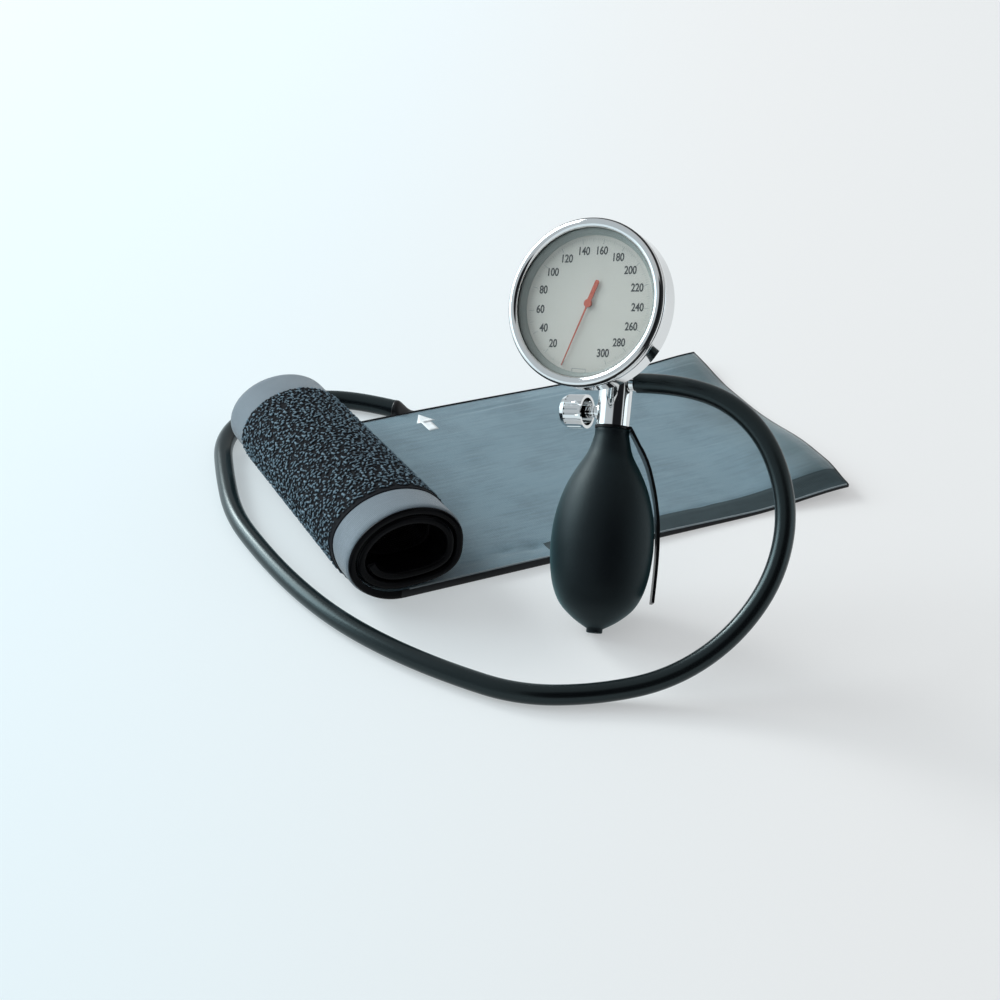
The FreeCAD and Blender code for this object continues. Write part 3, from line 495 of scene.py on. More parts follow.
def curve_through(points, divisions):
    """Catmull-Rom curve through (radius, height) points."""
    made = []
    last = len(points) - 1
    for i in range(last):
        p0, p1, p2, p3 = (Vector(points[min(max(i + k, 0), last)]) for k in (-1, 0, 1, 2))
        for k in range(divisions):
            t = k / divisions
            made.append(0.5 * ((2 * p1) + (p2 - p0) * t + (2 * p0 - 5 * p1 + 4 * p2 - p3) * t ** 2
                               + (3 * p1 - p0 - 3 * p2 + p3) * t ** 3))
    return made + [Vector(points[last])]


def inset(line, distance):
    moved = []
    for i, point in enumerate(line):
        along = line[min(i + 1, len(line) - 1)] - line[max(i - 1, 0)]
        along.normalize()
        moved.append(point + Vector((-along.y, along.x)) * distance)
    return moved


def lathe(name, loop, count, placement, material):
    """Closed ring of faces: the loop of (radius, height) in mm turned about the piece's own Z axis."""
    vertices = []
    for k in range(count):
        angle = 2 * pi * k / count
        for point in loop:
            own = Vector((point[0] * cos(angle), point[0] * sin(angle), point[1])) * MM
            vertices.append(placement @ own)
    rows = len(loop)
    faces = []
    for k in range(count):
        for i in range(rows):
            a = k * rows + i
            b = k * rows + (i + 1) % rows
            c = (k + 1) % count * rows + (i + 1) % rows
            d = (k + 1) % count * rows + i
            faces.append((a, b, c, d))
    return outward(mesh_object(name, vertices, faces, [material]))


def make_bulb():
    """Moulded bulb: foot with a rounded rim, smooth body, and a collar with a soft lip."""
    side = curve_through(BULB_OUTLINE, 5)
    inside = [p for p in inset(side, BULB_WALL) if INTAKE_R + 1.0 < p.x and 8.0 < p.y < 76.0]
    foot = [(INTAKE_R, 0.0), (NUB_R / MM - 0.5, 0.0), (NUB_R / MM - 0.1, 0.2), (NUB_R / MM, 0.6)]
    collar = [(COLLAR_R, 84.6), (COLLAR_R + 0.05, 85.5), (COLLAR_R - 0.15, 86.0),
              (COLLAR_R - 0.5, COLLAR_TOP), (COLLAR_BORE, COLLAR_TOP), (COLLAR_BORE, 78.0)]
    loop = foot + [tuple(p) for p in side] + collar + [tuple(p) for p in inside[::-1]]
    loop.append((INTAKE_R, inside[0].y - 1.2))
    settle(lathe("bulb_skin", loop, BULB_FACETS, UNIT, BULB_RUBBER), ROOT, "bulb_rubber", "bulb")


# ------------------------------------------------------------------ cuff
CUFF_HALF = 70.0
CUFF_END = 115.0
CLOTH = 2.0
SHEET = 4.0
CLOTH_GAP = 0.02
ROLL_X = -111.5
ROLL_NEAR = (27.5, 44.7)
ROLL_FAR = (24.0, 38.2)
TURN_PITCH = 4.4
WINDING_END = 800.0
WINDING_STEP = 4.0            # degrees between two lines across the roll
FLAT_STEP = 2.2               # mm between two lines across the flat stretch
ROW_STEP = 2.4
HEM_ROWS = (0.0, 0.5, 1.2, 2.2, 3.4, 4.8, 6.4, 8.0, 9.2, 10.0, 10.7, 11.4, 12.6, 14.6)
END_TAPE = 0.7                # depth of the binding along the free end
ROLL_SHADE_FROM = (340.0, 150.0)  # degrees of winding from where outer and inner cloth are black, painted shade
CORNER_POWER = 2.0 / 3.0      # rounds the corner where a turn folds under
NEAR_CLOTH = 69.3             # the cloths end here and the binding takes over
FAR_CLOTH = 68.6
HEM = 11.0                    # width of the flat hem along both edges
HEM_FROM = -38.0              # the near hem lies flat to the right of this
EDGE_HEIGHT = (3.9, 1.7)      # of the hem's edge, at the roll and at the free end
END_HEM = 7.0
END_DROP = 1.9
# place across the cuff and how far the free end is raised there
END_LIFT = [(-70.0, 3.6), (-51.0, 6.0), (-40.0, 6.0), (18.0, 0.7), (34.0, 0.6), (70.0, 3.8)]
END_LIFT_FROM = 55.0
PATCH_ANGLES = (25.0, 287.5)
PATCH_SPAN = (-53.0, 52.0)
HOOK_ANGLES = (450.0, 787.5)
HOOK_SPAN = (-54.0, 54.0)
HOOK_DEPTH = 0.9
RIM_WIDTH = 3.0               # the rolled end's outer face curves in over this width, by this much
RIM_DROP = 1.2
CREASE = (0.3, 0.8)           # depth and width of the crease beside the hem
# soft relief of the flat stretch: height, waves per mm along and across, and where in the noise it lies
RELIEF = [(0.45, 0.02, 0.035, 1.7), (0.12, 0.06, 0.22, 4.1)]
# place along and across the cuff, radius and depth of the dimples where the near seam puckers
PUCKERS = [(-58.0, -58.5, 3.6, 0.9), (-44.0, -60.5, 4.2, 1.0), (-74.0, -60.0, 5.0, 0.5),
           (42.0, -58.5, 2.6, 0.35), (96.0, -40.0, 9.0, 0.5), (66.0, 62.0, 6.0, 0.35)]


def roll_side(angle, roll):
    """Outer face of the winding at one end of the roll: x, z and the normal that points into the roll."""
    def place(at):
        turn = floor(at / 360.0)
        phase = radians(at - 360.0 * turn)
        half_width = roll[0] - TURN_PITCH * turn
        half_height = roll[1] / 2 - TURN_PITCH * turn
        power = 1.0
        if phase > 1.5 * pi:
            half_height -= TURN_PITCH
            power = CORNER_POWER
        across = copysign(abs(sin(phase)) ** power, sin(phase))
        along = copysign(abs(cos(phase)) ** power, cos(phase))
        return ROLL_X - half_width * across, roll[1] / 2 - half_height * along

    x, z = place(angle)
    x0, z0 = place(max(angle - 0.4, 0.0))
    x1, z1 = place(angle + 0.4)
    if angle == 0.0:
        x1, z1 = x0 - 1.0, z0
    span = hypot(x1 - x0, z1 - z0)
    return x, z, (z1 - z0) / span, -(x1 - x0) / span


class Station:
    """One line across the cuff: distance from the free end, angle on the roll, and both its ends."""

    def __init__(self, angle, near, far):
        self.angle = angle
        self.near = near
        self.far = far
        self.length = 0.0

    def on_roll(self):
        return self.angle >= 0.0

    def x(self):
        return min(max(self.near[0], ROLL_X), CUFF_END)


def measured(stations):
    for before, here in zip(stations, stations[1:]):
        here.length = before.length + hypot(here.near[0] - before.near[0], here.near[1] - before.near[1])
    return stations


def flat_stations(start, end, step):
    count = int(ceil((start - end) / step))
    places = [start + (end - start) * i / count for i in range(count + 1)]
    return [Station(-1.0, (x, 0.0, 0.0, 1.0), (x, 0.0, 0.0, 1.0)) for x in places]


def roll_stations(start, end, step):
    count = int(ceil((end - start) / step))
    angles = [start + (end - start) * i / count for i in range(count + 1)]
    return [Station(a, roll_side(a, ROLL_NEAR), roll_side(a, ROLL_FAR)) for a in angles]


def across(low, high, edge_low=True, edge_high=True):
    """Rows across the cuff, close together in the hems."""
    rows = [low + d for d in HEM_ROWS] if edge_low else [low]
    ends = [high - d for d in reversed(HEM_ROWS)] if edge_high else [high]
    count = int((ends[0] - rows[-1]) / ROW_STEP)
    middle = [rows[-1] + (ends[0] - rows[-1]) * i / count for i in range(1, count)]
    return rows + middle + ends


def through(pairs, at):
    """Smooth value between listed places."""
    for (x0, y0), (x1, y1) in zip(pairs, pairs[1:]):
        if at <= x1:
            return mixed(y0, y1, smooth_step(x0, x1, at))
    return pairs[-1][1]


def end_lift(x, y):
    """The free end doesn't lie flat: its near half and its far corner stand up a little."""
    return through(END_LIFT, y) * smooth_step(END_LIFT_FROM, CUFF_END, x) ** 1.3


def hem_drop(x, y):
    """How far the upper face lies below its full height near the edges of the cuff."""
    side = CUFF_HALF - abs(y)
    edge = mixed(*EDGE_HEIGHT, smooth_step(-60.0, 100.0, x))
    drop = (SHEET - edge) * max(1.0 - side / HEM, 0.0)
    crease = CREASE[0] * exp(-((side - HEM) / CREASE[1]) ** 2) * smooth_step(HEM_FROM, HEM_FROM + 30.0, x)
    end = CUFF_END - x
    return max(drop + crease, END_DROP * max(1.0 - end / END_HEM, 0.0))


def top_depth(station, y):
    """Depth of the upper face of the inner cloth, over the outer face of the cuff."""
    x = station.x()
    depth = SHEET - hem_drop(x, y)
    if station.on_roll():
        return depth
    calm = smooth_step(ROLL_X, ROLL_X + 25.0, x) * smooth_step(0.0, 12.0, CUFF_HALF - abs(y))
    for height, along, aside, layer in RELIEF:
        depth += height * calm * noise.noise(Vector((x * along, y * aside, layer)))
    for px, py, radius, dip in PUCKERS:
        depth -= dip * exp(-((x - px) ** 2 * 0.5 + (y - py) ** 2 * 1.6) / radius ** 2)
    return depth


def rim_depth(station, y):
    """The rolled end's outer face curves in at its rim."""
    if not station.on_roll():
        return 0.0
    rim = max(1.0 - (CUFF_HALF - abs(y)) / RIM_WIDTH, 0.0)
    return RIM_DROP * rim * rim * smooth_step(0.0, 60.0, station.angle)


def cuff_point(station, y, depth):
    share = y / (2 * CUFF_HALF) + 0.5
    near, far = station.near, station.far
    x = mixed(near[0] + near[2] * depth, far[0] + far[2] * depth, share)
    z = mixed(near[1] + near[3] * depth, far[1] + far[3] * depth, share)
    if not station.on_roll():
        z += end_lift(x, y)
    return Vector((x, y, z)) * MM


def slab(name, stations, rows, low, high, materials, choose=None, bend=None):
    """Closed sheet between two depths, which are functions of the station and of y."""
    vertices, uvs = [], []
    for depth in (low, high):
        for station in stations:
            for y in rows:
                place = bend(station, y) if bend else y
                vertices.append(cuff_point(station, place, depth(station, y)))
                uvs.append((station.length * MM, y * MM))
    stride = len(rows)
    layer = len(stations) * stride
    faces, chosen = [], []

    def face(corners, station, row, top):
        faces.append(corners)
        chosen.append(choose(station, rows[row], top) if choose else 0)

    for i, station in enumerate(stations[:-1]):
        for j in range(stride - 1):
            a = i * stride + j
            b = a + stride
            face((a, b, b + 1, a + 1), station, j, False)
            face((layer + a, layer + a + 1, layer + b + 1, layer + b), station, j, True)
        a, b, last = i * stride, (i + 1) * stride, stride - 1
        face((a, layer + a, layer + b, b), station, 0, False)
        face((a + last, b + last, layer + b + last, layer + a + last), station, last, False)
    end = (len(stations) - 1) * stride
    for j in range(stride - 1):
        face((j, j + 1, layer + j + 1, layer + j), stations[0], j, False)
        face((end + j, layer + end + j, layer + end + j + 1, end + j + 1), stations[-1], j, False)
    return outward(mesh_object(name, vertices, faces, materials, uvs, chosen))


def level(depth):
    return lambda station, y: depth


def whole_length(start):
    """Stations from near the free end to the innermost turn of the roll."""
    turns = roll_stations(0.0, WINDING_END, WINDING_STEP)[1:]
    return measured(flat_stations(start, ROLL_X, FLAT_STEP) + turns)


def make_cloths():
    stations = whole_length(CUFF_END - END_TAPE)
    rows = across(-NEAR_CLOTH, FAR_CLOTH)

    # painted shade: the upper cloth turns near-black inside the roll; the near hem takes the darker hem
    # cloth
    def hem_and_roll_shade(station, y, top):
        if station.angle > ROLL_SHADE_FROM[1]:
            return 2
        hem = y < HEM - CUFF_HALF and station.x() > HEM_FROM
        return 1 if hem and not station.on_roll() else 0

    # painted shade: the outer cloth's hidden turns inside the roll are near-black
    def painted_shade_turn(station, y, top):
        return 1 if station.angle > ROLL_SHADE_FROM[0] else 0

    outer = slab("cuff_outer_cloth_fabric", stations, rows, rim_depth, level(CLOTH),
                 [CLOTH_OUT, ROLL_INSIDE_SHADE], painted_shade_turn)
    inner = slab("cuff_inner_cloth_fabric", stations, rows, level(CLOTH + CLOTH_GAP), top_depth,
                 [CLOTH_IN, HEM_CLOTH_AND_SHADE, ROLL_INSIDE_SHADE], hem_and_roll_shade)
    settle(outer, ROOT, "cuff_cloth", "cuff_outer_cloth")
    settle(inner, ROOT, "cuff_lining", "cuff_inner_cloth", "bladder")


BINDING_LOW = 0.25            # the tape's edge is rounded off by this much below and above
BINDING_HIGH = 0.3
FAR_RAISE = 0.35              # the far edge stands up as a thin black line


def make_bindings():
    stations = whole_length(CUFF_END)

    def low(station, y):
        return rim_depth(station, y) + (BINDING_LOW if abs(y) > CUFF_HALF - 0.1 else 0.0)

    def high(station, y):
        return top_depth(station, y) - (BINDING_HIGH if abs(y) > CUFF_HALF - 0.1 else 0.0)

    # painted shade: the tape on the roll takes the darker copy
    def rolled(station, y, top):
        return 1 if station.on_roll() else 0

    def far_high(station, y):
        return high(station, y) + FAR_RAISE

    near = slab("cuff_binding_near", stations, [-CUFF_HALF, -CUFF_HALF + 0.3, -NEAR_CLOTH], low, high,
                [TAPE, ROLL_EDGE_SHADED], rolled)
    far = slab("cuff_binding_far", stations, [FAR_CLOTH, CUFF_HALF - 0.4, CUFF_HALF], low, far_high,
               [TAPE, ROLL_EDGE_SHADED], rolled)
    end_stations = measured(flat_stations(CUFF_END, CUFF_END - END_TAPE, END_TAPE / 2))
    end_rows = across(-NEAR_CLOTH, FAR_CLOTH)
    end = slab("cuff_binding_end", end_stations, end_rows, level(0.0), top_depth, [TAPE])
    for piece in (near, far, end):
        settle(piece, ROOT, "binding_tape", "edge_binding")


PIPING_R = 0.42
PIPING_SIDES = 8


def make_piping():
    """Raised rim along the top of the near edge, lighter than the cloth as a painted highlight."""
    stations = flat_stations(CUFF_END - 1.0, ROLL_X + 2.0, FLAT_STEP)
    vertices = []
    for station in stations:
        centre = cuff_point(station, -CUFF_HALF + 0.5, top_depth(station, -CUFF_HALF + 0.5) - 0.1)
        for k in range(PIPING_SIDES):
            angle = 2 * pi * k / PIPING_SIDES
            vertices.append(centre + Vector((0, PIPING_R * cos(angle), PIPING_R * sin(angle))) * MM)
    faces = tube_faces(len(stations), PIPING_SIDES)
    piping = outward(mesh_object("cuff_edge_piping", vertices, faces, [PIPING_HIGHLIGHT]))
    settle(piping, ROOT, "cuff_lining", "edge_binding")


# ------------------------------------------------------------------ loop pile and hook tape
PILE_STEP = 0.4
PILE_BASE = 0.35
PILE_HEIGHT = 0.85
SELVAGE = 2.6                 # bare strip along the patch's near edge
WEDGE = 8.0                   # the patch's near corner reaches this much further at its start
WEDGE_ANGLES = (112.0, 34.0)


def pile_height(along, y):
    """0 between the loops and 1 on their tops; the loops are short and bent, and lean across the roll."""
    bend = noise.noise(Vector((along * 0.5, y * 0.5, 9.0)))
    u = (along * 0.78 + y * 0.30) + 0.5 * bend
    v = (y * 1.00 - along * 0.22) + 0.4 * bend
    fine = 0.18 * noise.noise(Vector((u * 2.3, v * 2.3, 7.0)))
    return smooth_step(-0.08, 0.42, noise.noise(Vector((u, v, 3.0))) + fine)


def make_pile():
    start, end = PATCH_ANGLES
    arc = radians(end - start) * 0.5 * (ROLL_NEAR[0] + ROLL_NEAR[1] / 2)
    stations = measured(roll_stations(start, end, (end - start) * PILE_STEP / arc))
    low, high = PATCH_SPAN
    count = int((high - low) / PILE_STEP)
    rows = [low + (high - low) * i / count for i in range(count + 1)]
    heights = []

    def loops(station, y):
        edge = min(y - low, high - y, station.length, stations[-1].length - station.length)
        height = pile_height(station.length, y) * smooth_step(0.0, 0.8, edge)
        # the bare near-black strip widens into a wedge towards the patch's start: partly its bare edge,
        # partly painted shade where the roll turns down
        wide = SELVAGE * (1.0 + 0.9 * smooth_step(*WEDGE_ANGLES, station.angle))
        if y < low + wide:
            height *= smooth_step(wide - 0.5, wide + 0.3, y - low)
        heights.append(height)
        return -(PILE_BASE * smooth_step(-0.3, 0.5, edge) + PILE_HEIGHT * height)

    def skewed(station, y):
        reach = WEDGE * smooth_step(*WEDGE_ANGLES, station.angle)
        return y - reach * smooth_step(low + 30.0, low, y)

    pile = slab("cuff_loop_patch_pile", stations, rows, level(0.0), loops, [PILE], bend=skewed)
    values = pile.data.attributes.new("pile", "FLOAT", "POINT")
    values.data.foreach_set("value", [0.0] * len(heights) + heights)
    settle(pile, ROOT, "loop_pile", "loop_patch")
    hooks = measured(roll_stations(*HOOK_ANGLES, WINDING_STEP))
    hook_rows = across(*HOOK_SPAN, False, False)
    tape = slab("cuff_hook_patch_tape", hooks, hook_rows, level(SHEET), level(SHEET + HOOK_DEPTH), [HOOK])
    settle(tape, ROOT, "hook_tape", "hook_patch")


# partly the yarn's own tone, partly painted shade between the loops and painted light on their tops
PILE_COLOURS = ((0.0008, 0.0016, 0.0038), (0.155, 0.225, 0.275))     # between the loops and on their tops


def pile_material():
    material = new_material("cuff_loop_pile", (0.05, 0.07, 0.09), 0.8, Sheen_Weight=0.04,
                            Sheen_Roughness=0.4, Specular_IOR_Level=0.12)
    tree = material.node_tree
    height = add_node(tree, "ShaderNodeAttribute", attribute_name="pile")
    fibre = stretched_noise(tree, "UV", (1500.0, 1500.0, 1.0), Detail=2.0)
    shade = weighted_sum(tree, fibre, 0.35, height.outputs["Fac"])
    colour = ramp_between(tree, shade, 0.55, 1.12, *PILE_COLOURS)
    tree.links.new(colour, shader_of(material).inputs["Base Color"])
    bump_from(material, fibre, 0.5, 0.0002)
    return material


PILE = pile_material()


# ------------------------------------------------------------------ arrow on the cuff
ARROW_BASE = Vector((-40.0, 49.5))
ARROW_TIP = Vector((-40.4, 65.8))
ARROW_HEAD = 7.8
ARROW_SHAFT_HALF = 2.5
ARROW_HEAD_HALF = 4.8
ARROW_STEPS = 6
ARROW_POINT = 0.05            # half width left at the tip
PRINT_LIFT = 0.06


def make_arrow():
    """Plain white arrow printed on the upper face: it marks where the tube goes in."""
    length = (ARROW_TIP - ARROW_BASE).length
    way = (ARROW_TIP - ARROW_BASE) / length
    aside = Vector((-way.y, way.x))
    shaft = length - ARROW_HEAD
    steps = ARROW_STEPS
    marks = [(shaft * k / steps, ARROW_SHAFT_HALF) for k in range(steps + 1)]
    marks += [(shaft + ARROW_HEAD * k / steps, ARROW_HEAD_HALF * (1 - k / steps) + ARROW_POINT)
              for k in range(steps + 1)]
    vertices, faces = [], []
    for lift in (-PRINT_LIFT, PRINT_LIFT):
        for along, half in marks:
            for k in (-1.0, -0.5, 0.0, 0.5, 1.0):
                x, y = ARROW_BASE + way * along + aside * half * k
                station = Station(-1.0, (x, 0.0, 0.0, 1.0), (x, 0.0, 0.0, 1.0))
                vertices.append(cuff_point(station, y, top_depth(station, y) + lift))
    width = 5
    layer = len(marks) * width
    rim = list(range(width)) + [i * width + width - 1 for i in range(1, len(marks))]
    rim += [layer - 1 - j for j in range(1, width)] + [i * width for i in range(len(marks) - 2, 0, -1)]
    for i in range(len(marks) - 1):
        for j in range(width - 1):
            a = i * width + j
            faces.append((a, a + 1, a + width + 1, a + width))
            faces.append((layer + a, layer + a + width, layer + a + width + 1, layer + a + 1))
    for a, b in zip(rim, rim[1:] + rim[:1]):
        faces.append((a, b, layer + b, layer + a))
    arrow = outward(mesh_object("cuff_arrow_print", vertices, faces, [WHITE_PRINT]))
    settle(arrow, ROOT, "white_print")


# ------------------------------------------------------------------ gauge's front
GAUGE_R = 35.1
BEZEL_BACK = 31.75
OPENING_R = 31.5
LENS_FACE = 35.9
BEAD_R = 2.15
BEAD_CENTRE = (33.25, 35.6)
BEZEL_FACETS = 180
BEAD_SPAN = (-20, 181, 5)     # degrees round the bead: first, past the last, step
BEAD_REFLECTION_STRIPS = (6, 13)           # strips of the bead painted black as a painted dark reflection


def turned_with(name, loop, materials, choose):
    """Lathe on the gauge's axis with a material for each strip of the loop."""
    made = lathe(name, loop, BEZEL_FACETS, GAUGE, materials[0])
    for material in materials[1:]:
        made.data.materials.append(material)
    for polygon in made.data.polygons:
        polygon.material_index = choose(polygon.index % len(loop))
    return made


def make_bezel():
    """Rolled chrome bead with a black seal inside it, a black painted reflection ring on its outer slope,
    and a dark groove between it and the side band.
    """
    radius, height = BEAD_CENTRE
    turns = [radians(a) for a in range(*BEAD_SPAN)]
    bead = [(radius + BEAD_R * cos(a), height + BEAD_R * sin(a)) for a in turns]
    seal = [(OPENING_R - 0.42, LENS_FACE + 0.25), (OPENING_R - 0.42, LENS_FACE), (GAUGE_R - 1.7, LENS_FACE)]
    band = [(GAUGE_R - 1.7, BEZEL_BACK), (GAUGE_R - 0.2, BEZEL_BACK), (GAUGE_R + 0.1, BEZEL_BACK + 0.3),
            (GAUGE_R + 0.15, BEZEL_BACK + 2.1), (GAUGE_R - 0.1, BEZEL_BACK + 2.4),
            (GAUGE_R - 0.5, BEZEL_BACK + 2.5), (GAUGE_R - 0.5, BEZEL_BACK + 3.1)]
    loop = bead + seal + band
    # painted reflection: a black ring on the bead where the chrome would mirror the dark side of the room
    dark = set(range(*BEAD_REFLECTION_STRIPS))
    dark |= set(range(len(bead) - 5, len(bead) + 2))
    dark |= set(range(len(loop) - 3, len(loop)))
    bezel = turned_with("gauge_bezel", loop, [CHROME, PORT_RUBBER], lambda strip: 1 if strip in dark else 0)
    settle(bezel, ROOT, "chrome", "bezel_ring")


WALL_OUTLINE = [(32.2, 32.34), (32.2, 34.35), (31.4, 34.35), (31.0, 34.1), (28.9, 32.55), (28.8, 32.34)]


def make_dial_wall():
    """Sloping ring between the lens and the dial, dark grey-green partly as painted shade of the recess."""
    wall = lathe("gauge_dial_wall", WALL_OUTLINE, BEZEL_FACETS, GAUGE, DIAL_WALL)
    settle(wall, ROOT, "dial_wall", "dial_wall_ring")


# ------------------------------------------------------------------ dial print
SCALE_ZERO = -159.5
SCALE_STEP = 21.15
NUMERAL_R = 22.4
NUMERAL_SIZE = 4.7
NUMERAL_NARROW = 0.80
NUMERAL_WEIGHT = 0.12
NUMERAL_DEPTH = 0.03          # the numerals' half thickness, and how high their middle lies over the dial
NUMERAL_LIFT = 0.04
PRINT_FACES = (0.01, 0.06)    # the marks' lower and upper face over the dial
LAST_NUMBER = 15              # 300, in twenties
TICK_OUT = 27.6
TICK_MAJOR = (2.2, 0.10)      # length and half width
TICK_MIDDLE = (1.5, 0.07)
TICK_MINOR = (0.9, 0.045)
ZERO_BOX = (184.0, 28.6, 6.3, 2.7, 0.22)      # clockwise angle, radius, width, height, line


def numeral_mesh(word):
    curve = bpy.data.curves.new("numeral", "FONT")
    curve.body = word
    curve.size = NUMERAL_SIZE * MM
    curve.align_x = "CENTER"
    curve.align_y = "CENTER"
    curve.extrude = NUMERAL_DEPTH * MM
    curve.offset = NUMERAL_WEIGHT * MM
    holder = bpy.data.objects.new("numeral", curve)
    scene.collection.objects.link(holder)
    bpy.context.view_layer.update()
    mesh = bpy.data.meshes.new_from_object(holder)
    bpy.data.objects.remove(holder)
    return mesh


def flat_bar(work, x0, y0, x1, y1, turn):
    """Thin printed bar between two corners, turned about the dial's axis."""
    corners = [(x0, y0), (x1, y0), (x1, y1), (x0, y1)]
    low, high = [
        [work.verts.new(turn @ Vector((x * MM, y * MM, DIAL_FACE + lift * MM))) for x, y in corners]
        for lift in PRINT_FACES
    ]
    work.faces.new(high)
    work.faces.new(low[::-1])
    for a in range(4):
        b = (a + 1) % 4
        work.faces.new((low[a], low[b], high[b], high[a]))


def finished(work, name, material):
    work.transform(GAUGE)
    mesh = bpy.data.meshes.new(name)
    bmesh.ops.recalc_face_normals(work, faces=work.faces)
    work.to_mesh(mesh)
    work.free()
    mesh.materials.append(material)
    made = bpy.data.objects.new(name, mesh)
    scene.collection.objects.link(made)
    settle(made, ROOT, "dial_print")


def make_dial_print():
    work = bmesh.new()
    for k in range(1, LAST_NUMBER + 1):
        angle = radians(SCALE_ZERO + SCALE_STEP * k)
        mesh = numeral_mesh(str(20 * k))
        place = (NUMERAL_R * MM * sin(angle), NUMERAL_R * MM * cos(angle), DIAL_FACE + NUMERAL_LIFT * MM)
        mesh.transform(Matrix.Translation(place) @ Matrix.Diagonal((NUMERAL_NARROW, 1, 1, 1)))
        work.from_mesh(mesh)
        bpy.data.meshes.remove(mesh)
    finished(work, "dial_numerals", PRINT)
    work = bmesh.new()
    for k in range(10 * LAST_NUMBER + 1):
        turn = Matrix.Rotation(-radians(SCALE_ZERO + SCALE_STEP * k / 10), 4, "Z")
        length, half = TICK_MAJOR if k % 10 == 0 else (TICK_MIDDLE if k % 5 == 0 else TICK_MINOR)
        flat_bar(work, -half, TICK_OUT - length, half, TICK_OUT, turn)
    angle, radius, width, height, line = ZERO_BOX
    turn = Matrix.Rotation(-radians(angle), 4, "Z")
    for side in (-1, 1):
        x = side * width / 2
        flat_bar(work, x - line / 2, radius - height / 2, x + line / 2, radius + height / 2, turn)
        y = radius + side * height / 2
        flat_bar(work, -width / 2, y - line / 2, width / 2, y + line / 2, turn)
    finished(work, "dial_scale_marks", FAINT_PRINT)


# ------------------------------------------------------------------ studio
FLOOR_HALF = 9.0
# degrees back from the left, elevation, distance, width, height, power
KEY = (38.0, 28.0, 2.6, 0.58, 0.58, 21.0)
WINDOW = (24.0, 29.0, 2.6, 2.2, 1.5, 58.0)
# lighter sides of the room, low down: azimuth left from image-right, cosines of edge and core, colour
SIDE_GLOWS = [(166.0, 0.80, 0.97, (1.9, 2.3, 2.45)), (-4.0, 0.86, 0.98, (1.15, 1.30, 1.38))]
GLOW_RISE = 0.10
ROOM_COOL = (0.52, 0.57, 0.60)
ROOM_PLAIN = (0.52, 0.52, 0.52)
CARD_COLOUR = (0.012, 0.013, 0.015)
LAMP_AIM = Vector((-0.03, -0.03, 0.04))
CARD_SIDE = radians(22.0)                       # the dark side of the room: this far right of the camera
CARD_EDGE = (0.80, 0.87)                        # cosines of where it begins and where it is full


def area_light(name, back, elevation, distance, width, height, power, colour):
    towards = -LEVEL_RIGHT * cos(radians(back)) + LEVEL_AWAY * sin(radians(back))
    towards = towards * cos(radians(elevation)) + Vector((0, 0, sin(radians(elevation))))
    data = bpy.data.lights.new(name, "AREA")
    data.energy = power
    data.color = colour
    data.shape = "RECTANGLE"
    data.size = width
    data.size_y = height
    lamp = bpy.data.objects.new(name, data)
    turn = (-towards).to_track_quat("-Z", "Y").to_matrix().to_4x4()
    lamp.matrix_world = Matrix.Translation(LAMP_AIM + towards * distance) @ turn
    scene.collection.objects.link(lamp)


def facing(tree, coords, direction, low, high):
    """0 to 1 as a direction of the sky comes nearer to the given one."""
    dot = add_node(tree, "ShaderNodeVectorMath", operation="DOT_PRODUCT")
    tree.links.new(coords, dot.inputs[0])
    dot.inputs[1].default_value = direction.normalized()
    span = add_node(tree, "ShaderNodeMapRange", interpolation_type="SMOOTHSTEP")
    span.inputs["From Min"].default_value = low
    span.inputs["From Max"].default_value = high
    tree.links.new(dot.outputs["Value"], span.inputs["Value"])
    return span.outputs["Result"]


def colour_mix(tree, share, colour_a, colour_b):
    mix = add_node(tree, "ShaderNodeMix", data_type="RGBA")
    sockets = (mix.inputs["Factor"], mix.inputs[6], mix.inputs[7])
    for socket, value in zip(sockets, (share, colour_a, colour_b)):
        if hasattr(value, "default_value"):
            tree.links.new(value, socket)
        else:
            socket.default_value = (*value, 1.0)
    return mix.outputs[2]


def seen_directly(tree):
    """1 for rays from the camera, off shiny surfaces and through glass, 0 for the light on the object."""
    path = add_node(tree, "ShaderNodeLightPath")
    first = add_node(tree, "ShaderNodeMath", operation="MAXIMUM")
    tree.links.new(path.outputs["Is Camera Ray"], first.inputs[0])
    tree.links.new(path.outputs["Is Transmission Ray"], first.inputs[1])
    both = add_node(tree, "ShaderNodeMath", operation="MAXIMUM")
    tree.links.new(first.outputs["Value"], both.inputs[0])
    tree.links.new(path.outputs["Is Glossy Ray"], both.inputs[1])
    return both.outputs["Value"]


def make_world():
    """Pale room: cool on the left, neutral on the right, with one dark side beyond the camera."""
    world = bpy.data.worlds.new("studio")
    world.use_nodes = True
    tree = world.node_tree
    coords = add_node(tree, "ShaderNodeTexCoord").outputs["Generated"]
    left = facing(tree, coords, -LEVEL_RIGHT, -0.7, 0.8)
    room = colour_mix(tree, left, ROOM_PLAIN, ROOM_COOL)
    for azimuth, edge, full, glow in SIDE_GLOWS:
        way = LEVEL_RIGHT * cos(radians(azimuth)) + LEVEL_AWAY * sin(radians(azimuth))
        way += Vector((0, 0, GLOW_RISE))
        room = colour_mix(tree, facing(tree, coords, way, edge, full), room, glow)
    card_way = -VIEW_FORWARD * cos(CARD_SIDE) + VIEW_RIGHT * sin(CARD_SIDE)
    card = facing(tree, coords, card_way, *CARD_EDGE)
    room = colour_mix(tree, card, room, CARD_COLOUR)
    tree.links.new(room, tree.nodes["Background"].inputs["Color"])
    scene.world = world


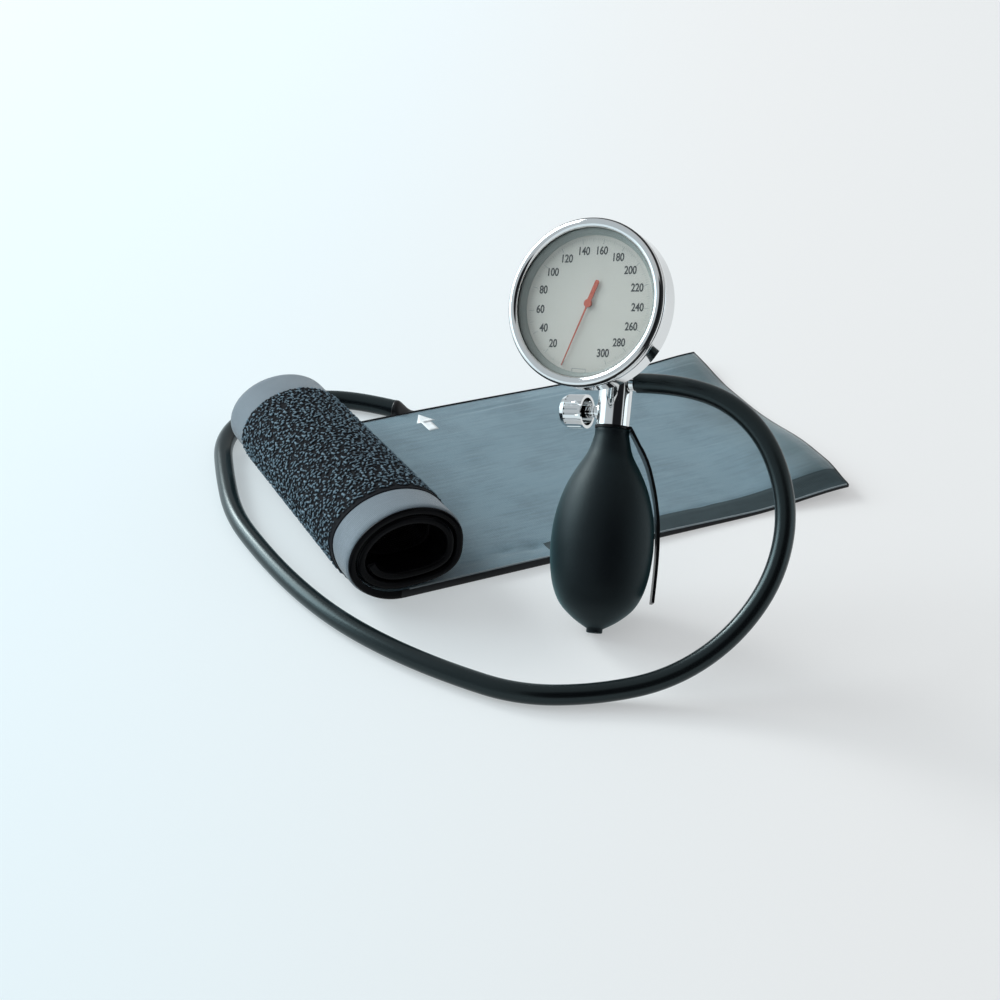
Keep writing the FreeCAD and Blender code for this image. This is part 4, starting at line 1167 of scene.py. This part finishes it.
FLOOR_OPEN = 0.53             # share of the floor's colour that takes light and shadow for the camera
FLOOR_SPAN = (-0.30, 0.16)    # metres to image-right where the floor is cool, as painted cool light, and where it is plain
FLOOR_COLOURS = ((0.75, 0.85, 0.89), (0.80, 0.80, 0.80))
FLOOR_GLOW = 0.50             # strength of the rest, which only the camera, reflections and glass see


def floor_material():
    """Pale paper, painted cooler towards the left as painted cool light from that side. Part of what the
    camera sees of it is its own glow.
    """
    material = new_material("floor_paper", (0.80, 0.82, 0.83), 0.8)
    tree = material.node_tree
    shader = shader_of(material)
    where = add_node(tree, "ShaderNodeTexCoord")
    dot = add_node(tree, "ShaderNodeVectorMath", operation="DOT_PRODUCT")
    tree.links.new(where.outputs["Object"], dot.inputs[0])
    dot.inputs[1].default_value = LEVEL_RIGHT
    span = add_node(tree, "ShaderNodeMapRange", interpolation_type="SMOOTHSTEP")
    span.inputs["From Min"].default_value, span.inputs["From Max"].default_value = FLOOR_SPAN
    tree.links.new(dot.outputs["Value"], span.inputs["Value"])
    colour = ramp_between(tree, span.outputs["Result"], 0.0, 1.0, *FLOOR_COLOURS)
    seen = seen_directly(tree)
    dimmed = add_node(tree, "ShaderNodeMix", data_type="RGBA", blend_type="MULTIPLY")
    tree.links.new(seen, dimmed.inputs["Factor"])
    tree.links.new(colour, dimmed.inputs[6])
    dimmed.inputs[7].default_value = (FLOOR_OPEN, FLOOR_OPEN, FLOOR_OPEN, 1.0)
    tree.links.new(dimmed.outputs[2], shader.inputs["Base Color"])
    tree.links.new(colour, shader.inputs["Emission Color"])
    glow = add_node(tree, "ShaderNodeMath", operation="MULTIPLY")
    tree.links.new(seen, glow.inputs[0])
    glow.inputs[1].default_value = FLOOR_GLOW
    tree.links.new(glow.outputs["Value"], shader.inputs["Emission Strength"])
    grain_bump(material, 60.0, 0.05, 0.0002)
    return material


def studio():
    corners = [(-FLOOR_HALF, -FLOOR_HALF, 0), (FLOOR_HALF, -FLOOR_HALF, 0), (FLOOR_HALF, FLOOR_HALF, 0),
               (-FLOOR_HALF, FLOOR_HALF, 0)]
    floor_piece = mesh_object("floor", [Vector(c) for c in corners], [(0, 1, 2, 3)], [floor_material()])
    make_world()
    area_light("key", *KEY, (1.0, 0.99, 0.97))
    area_light("window", *WINDOW, (0.88, 0.97, 1.0))


make_hose()
studio()
dress_nodes()
make_port()
make_bulb()
make_cloths()
make_bindings()
make_piping()
make_pile()
make_arrow()
make_bezel()
make_dial_wall()
make_dial_print()
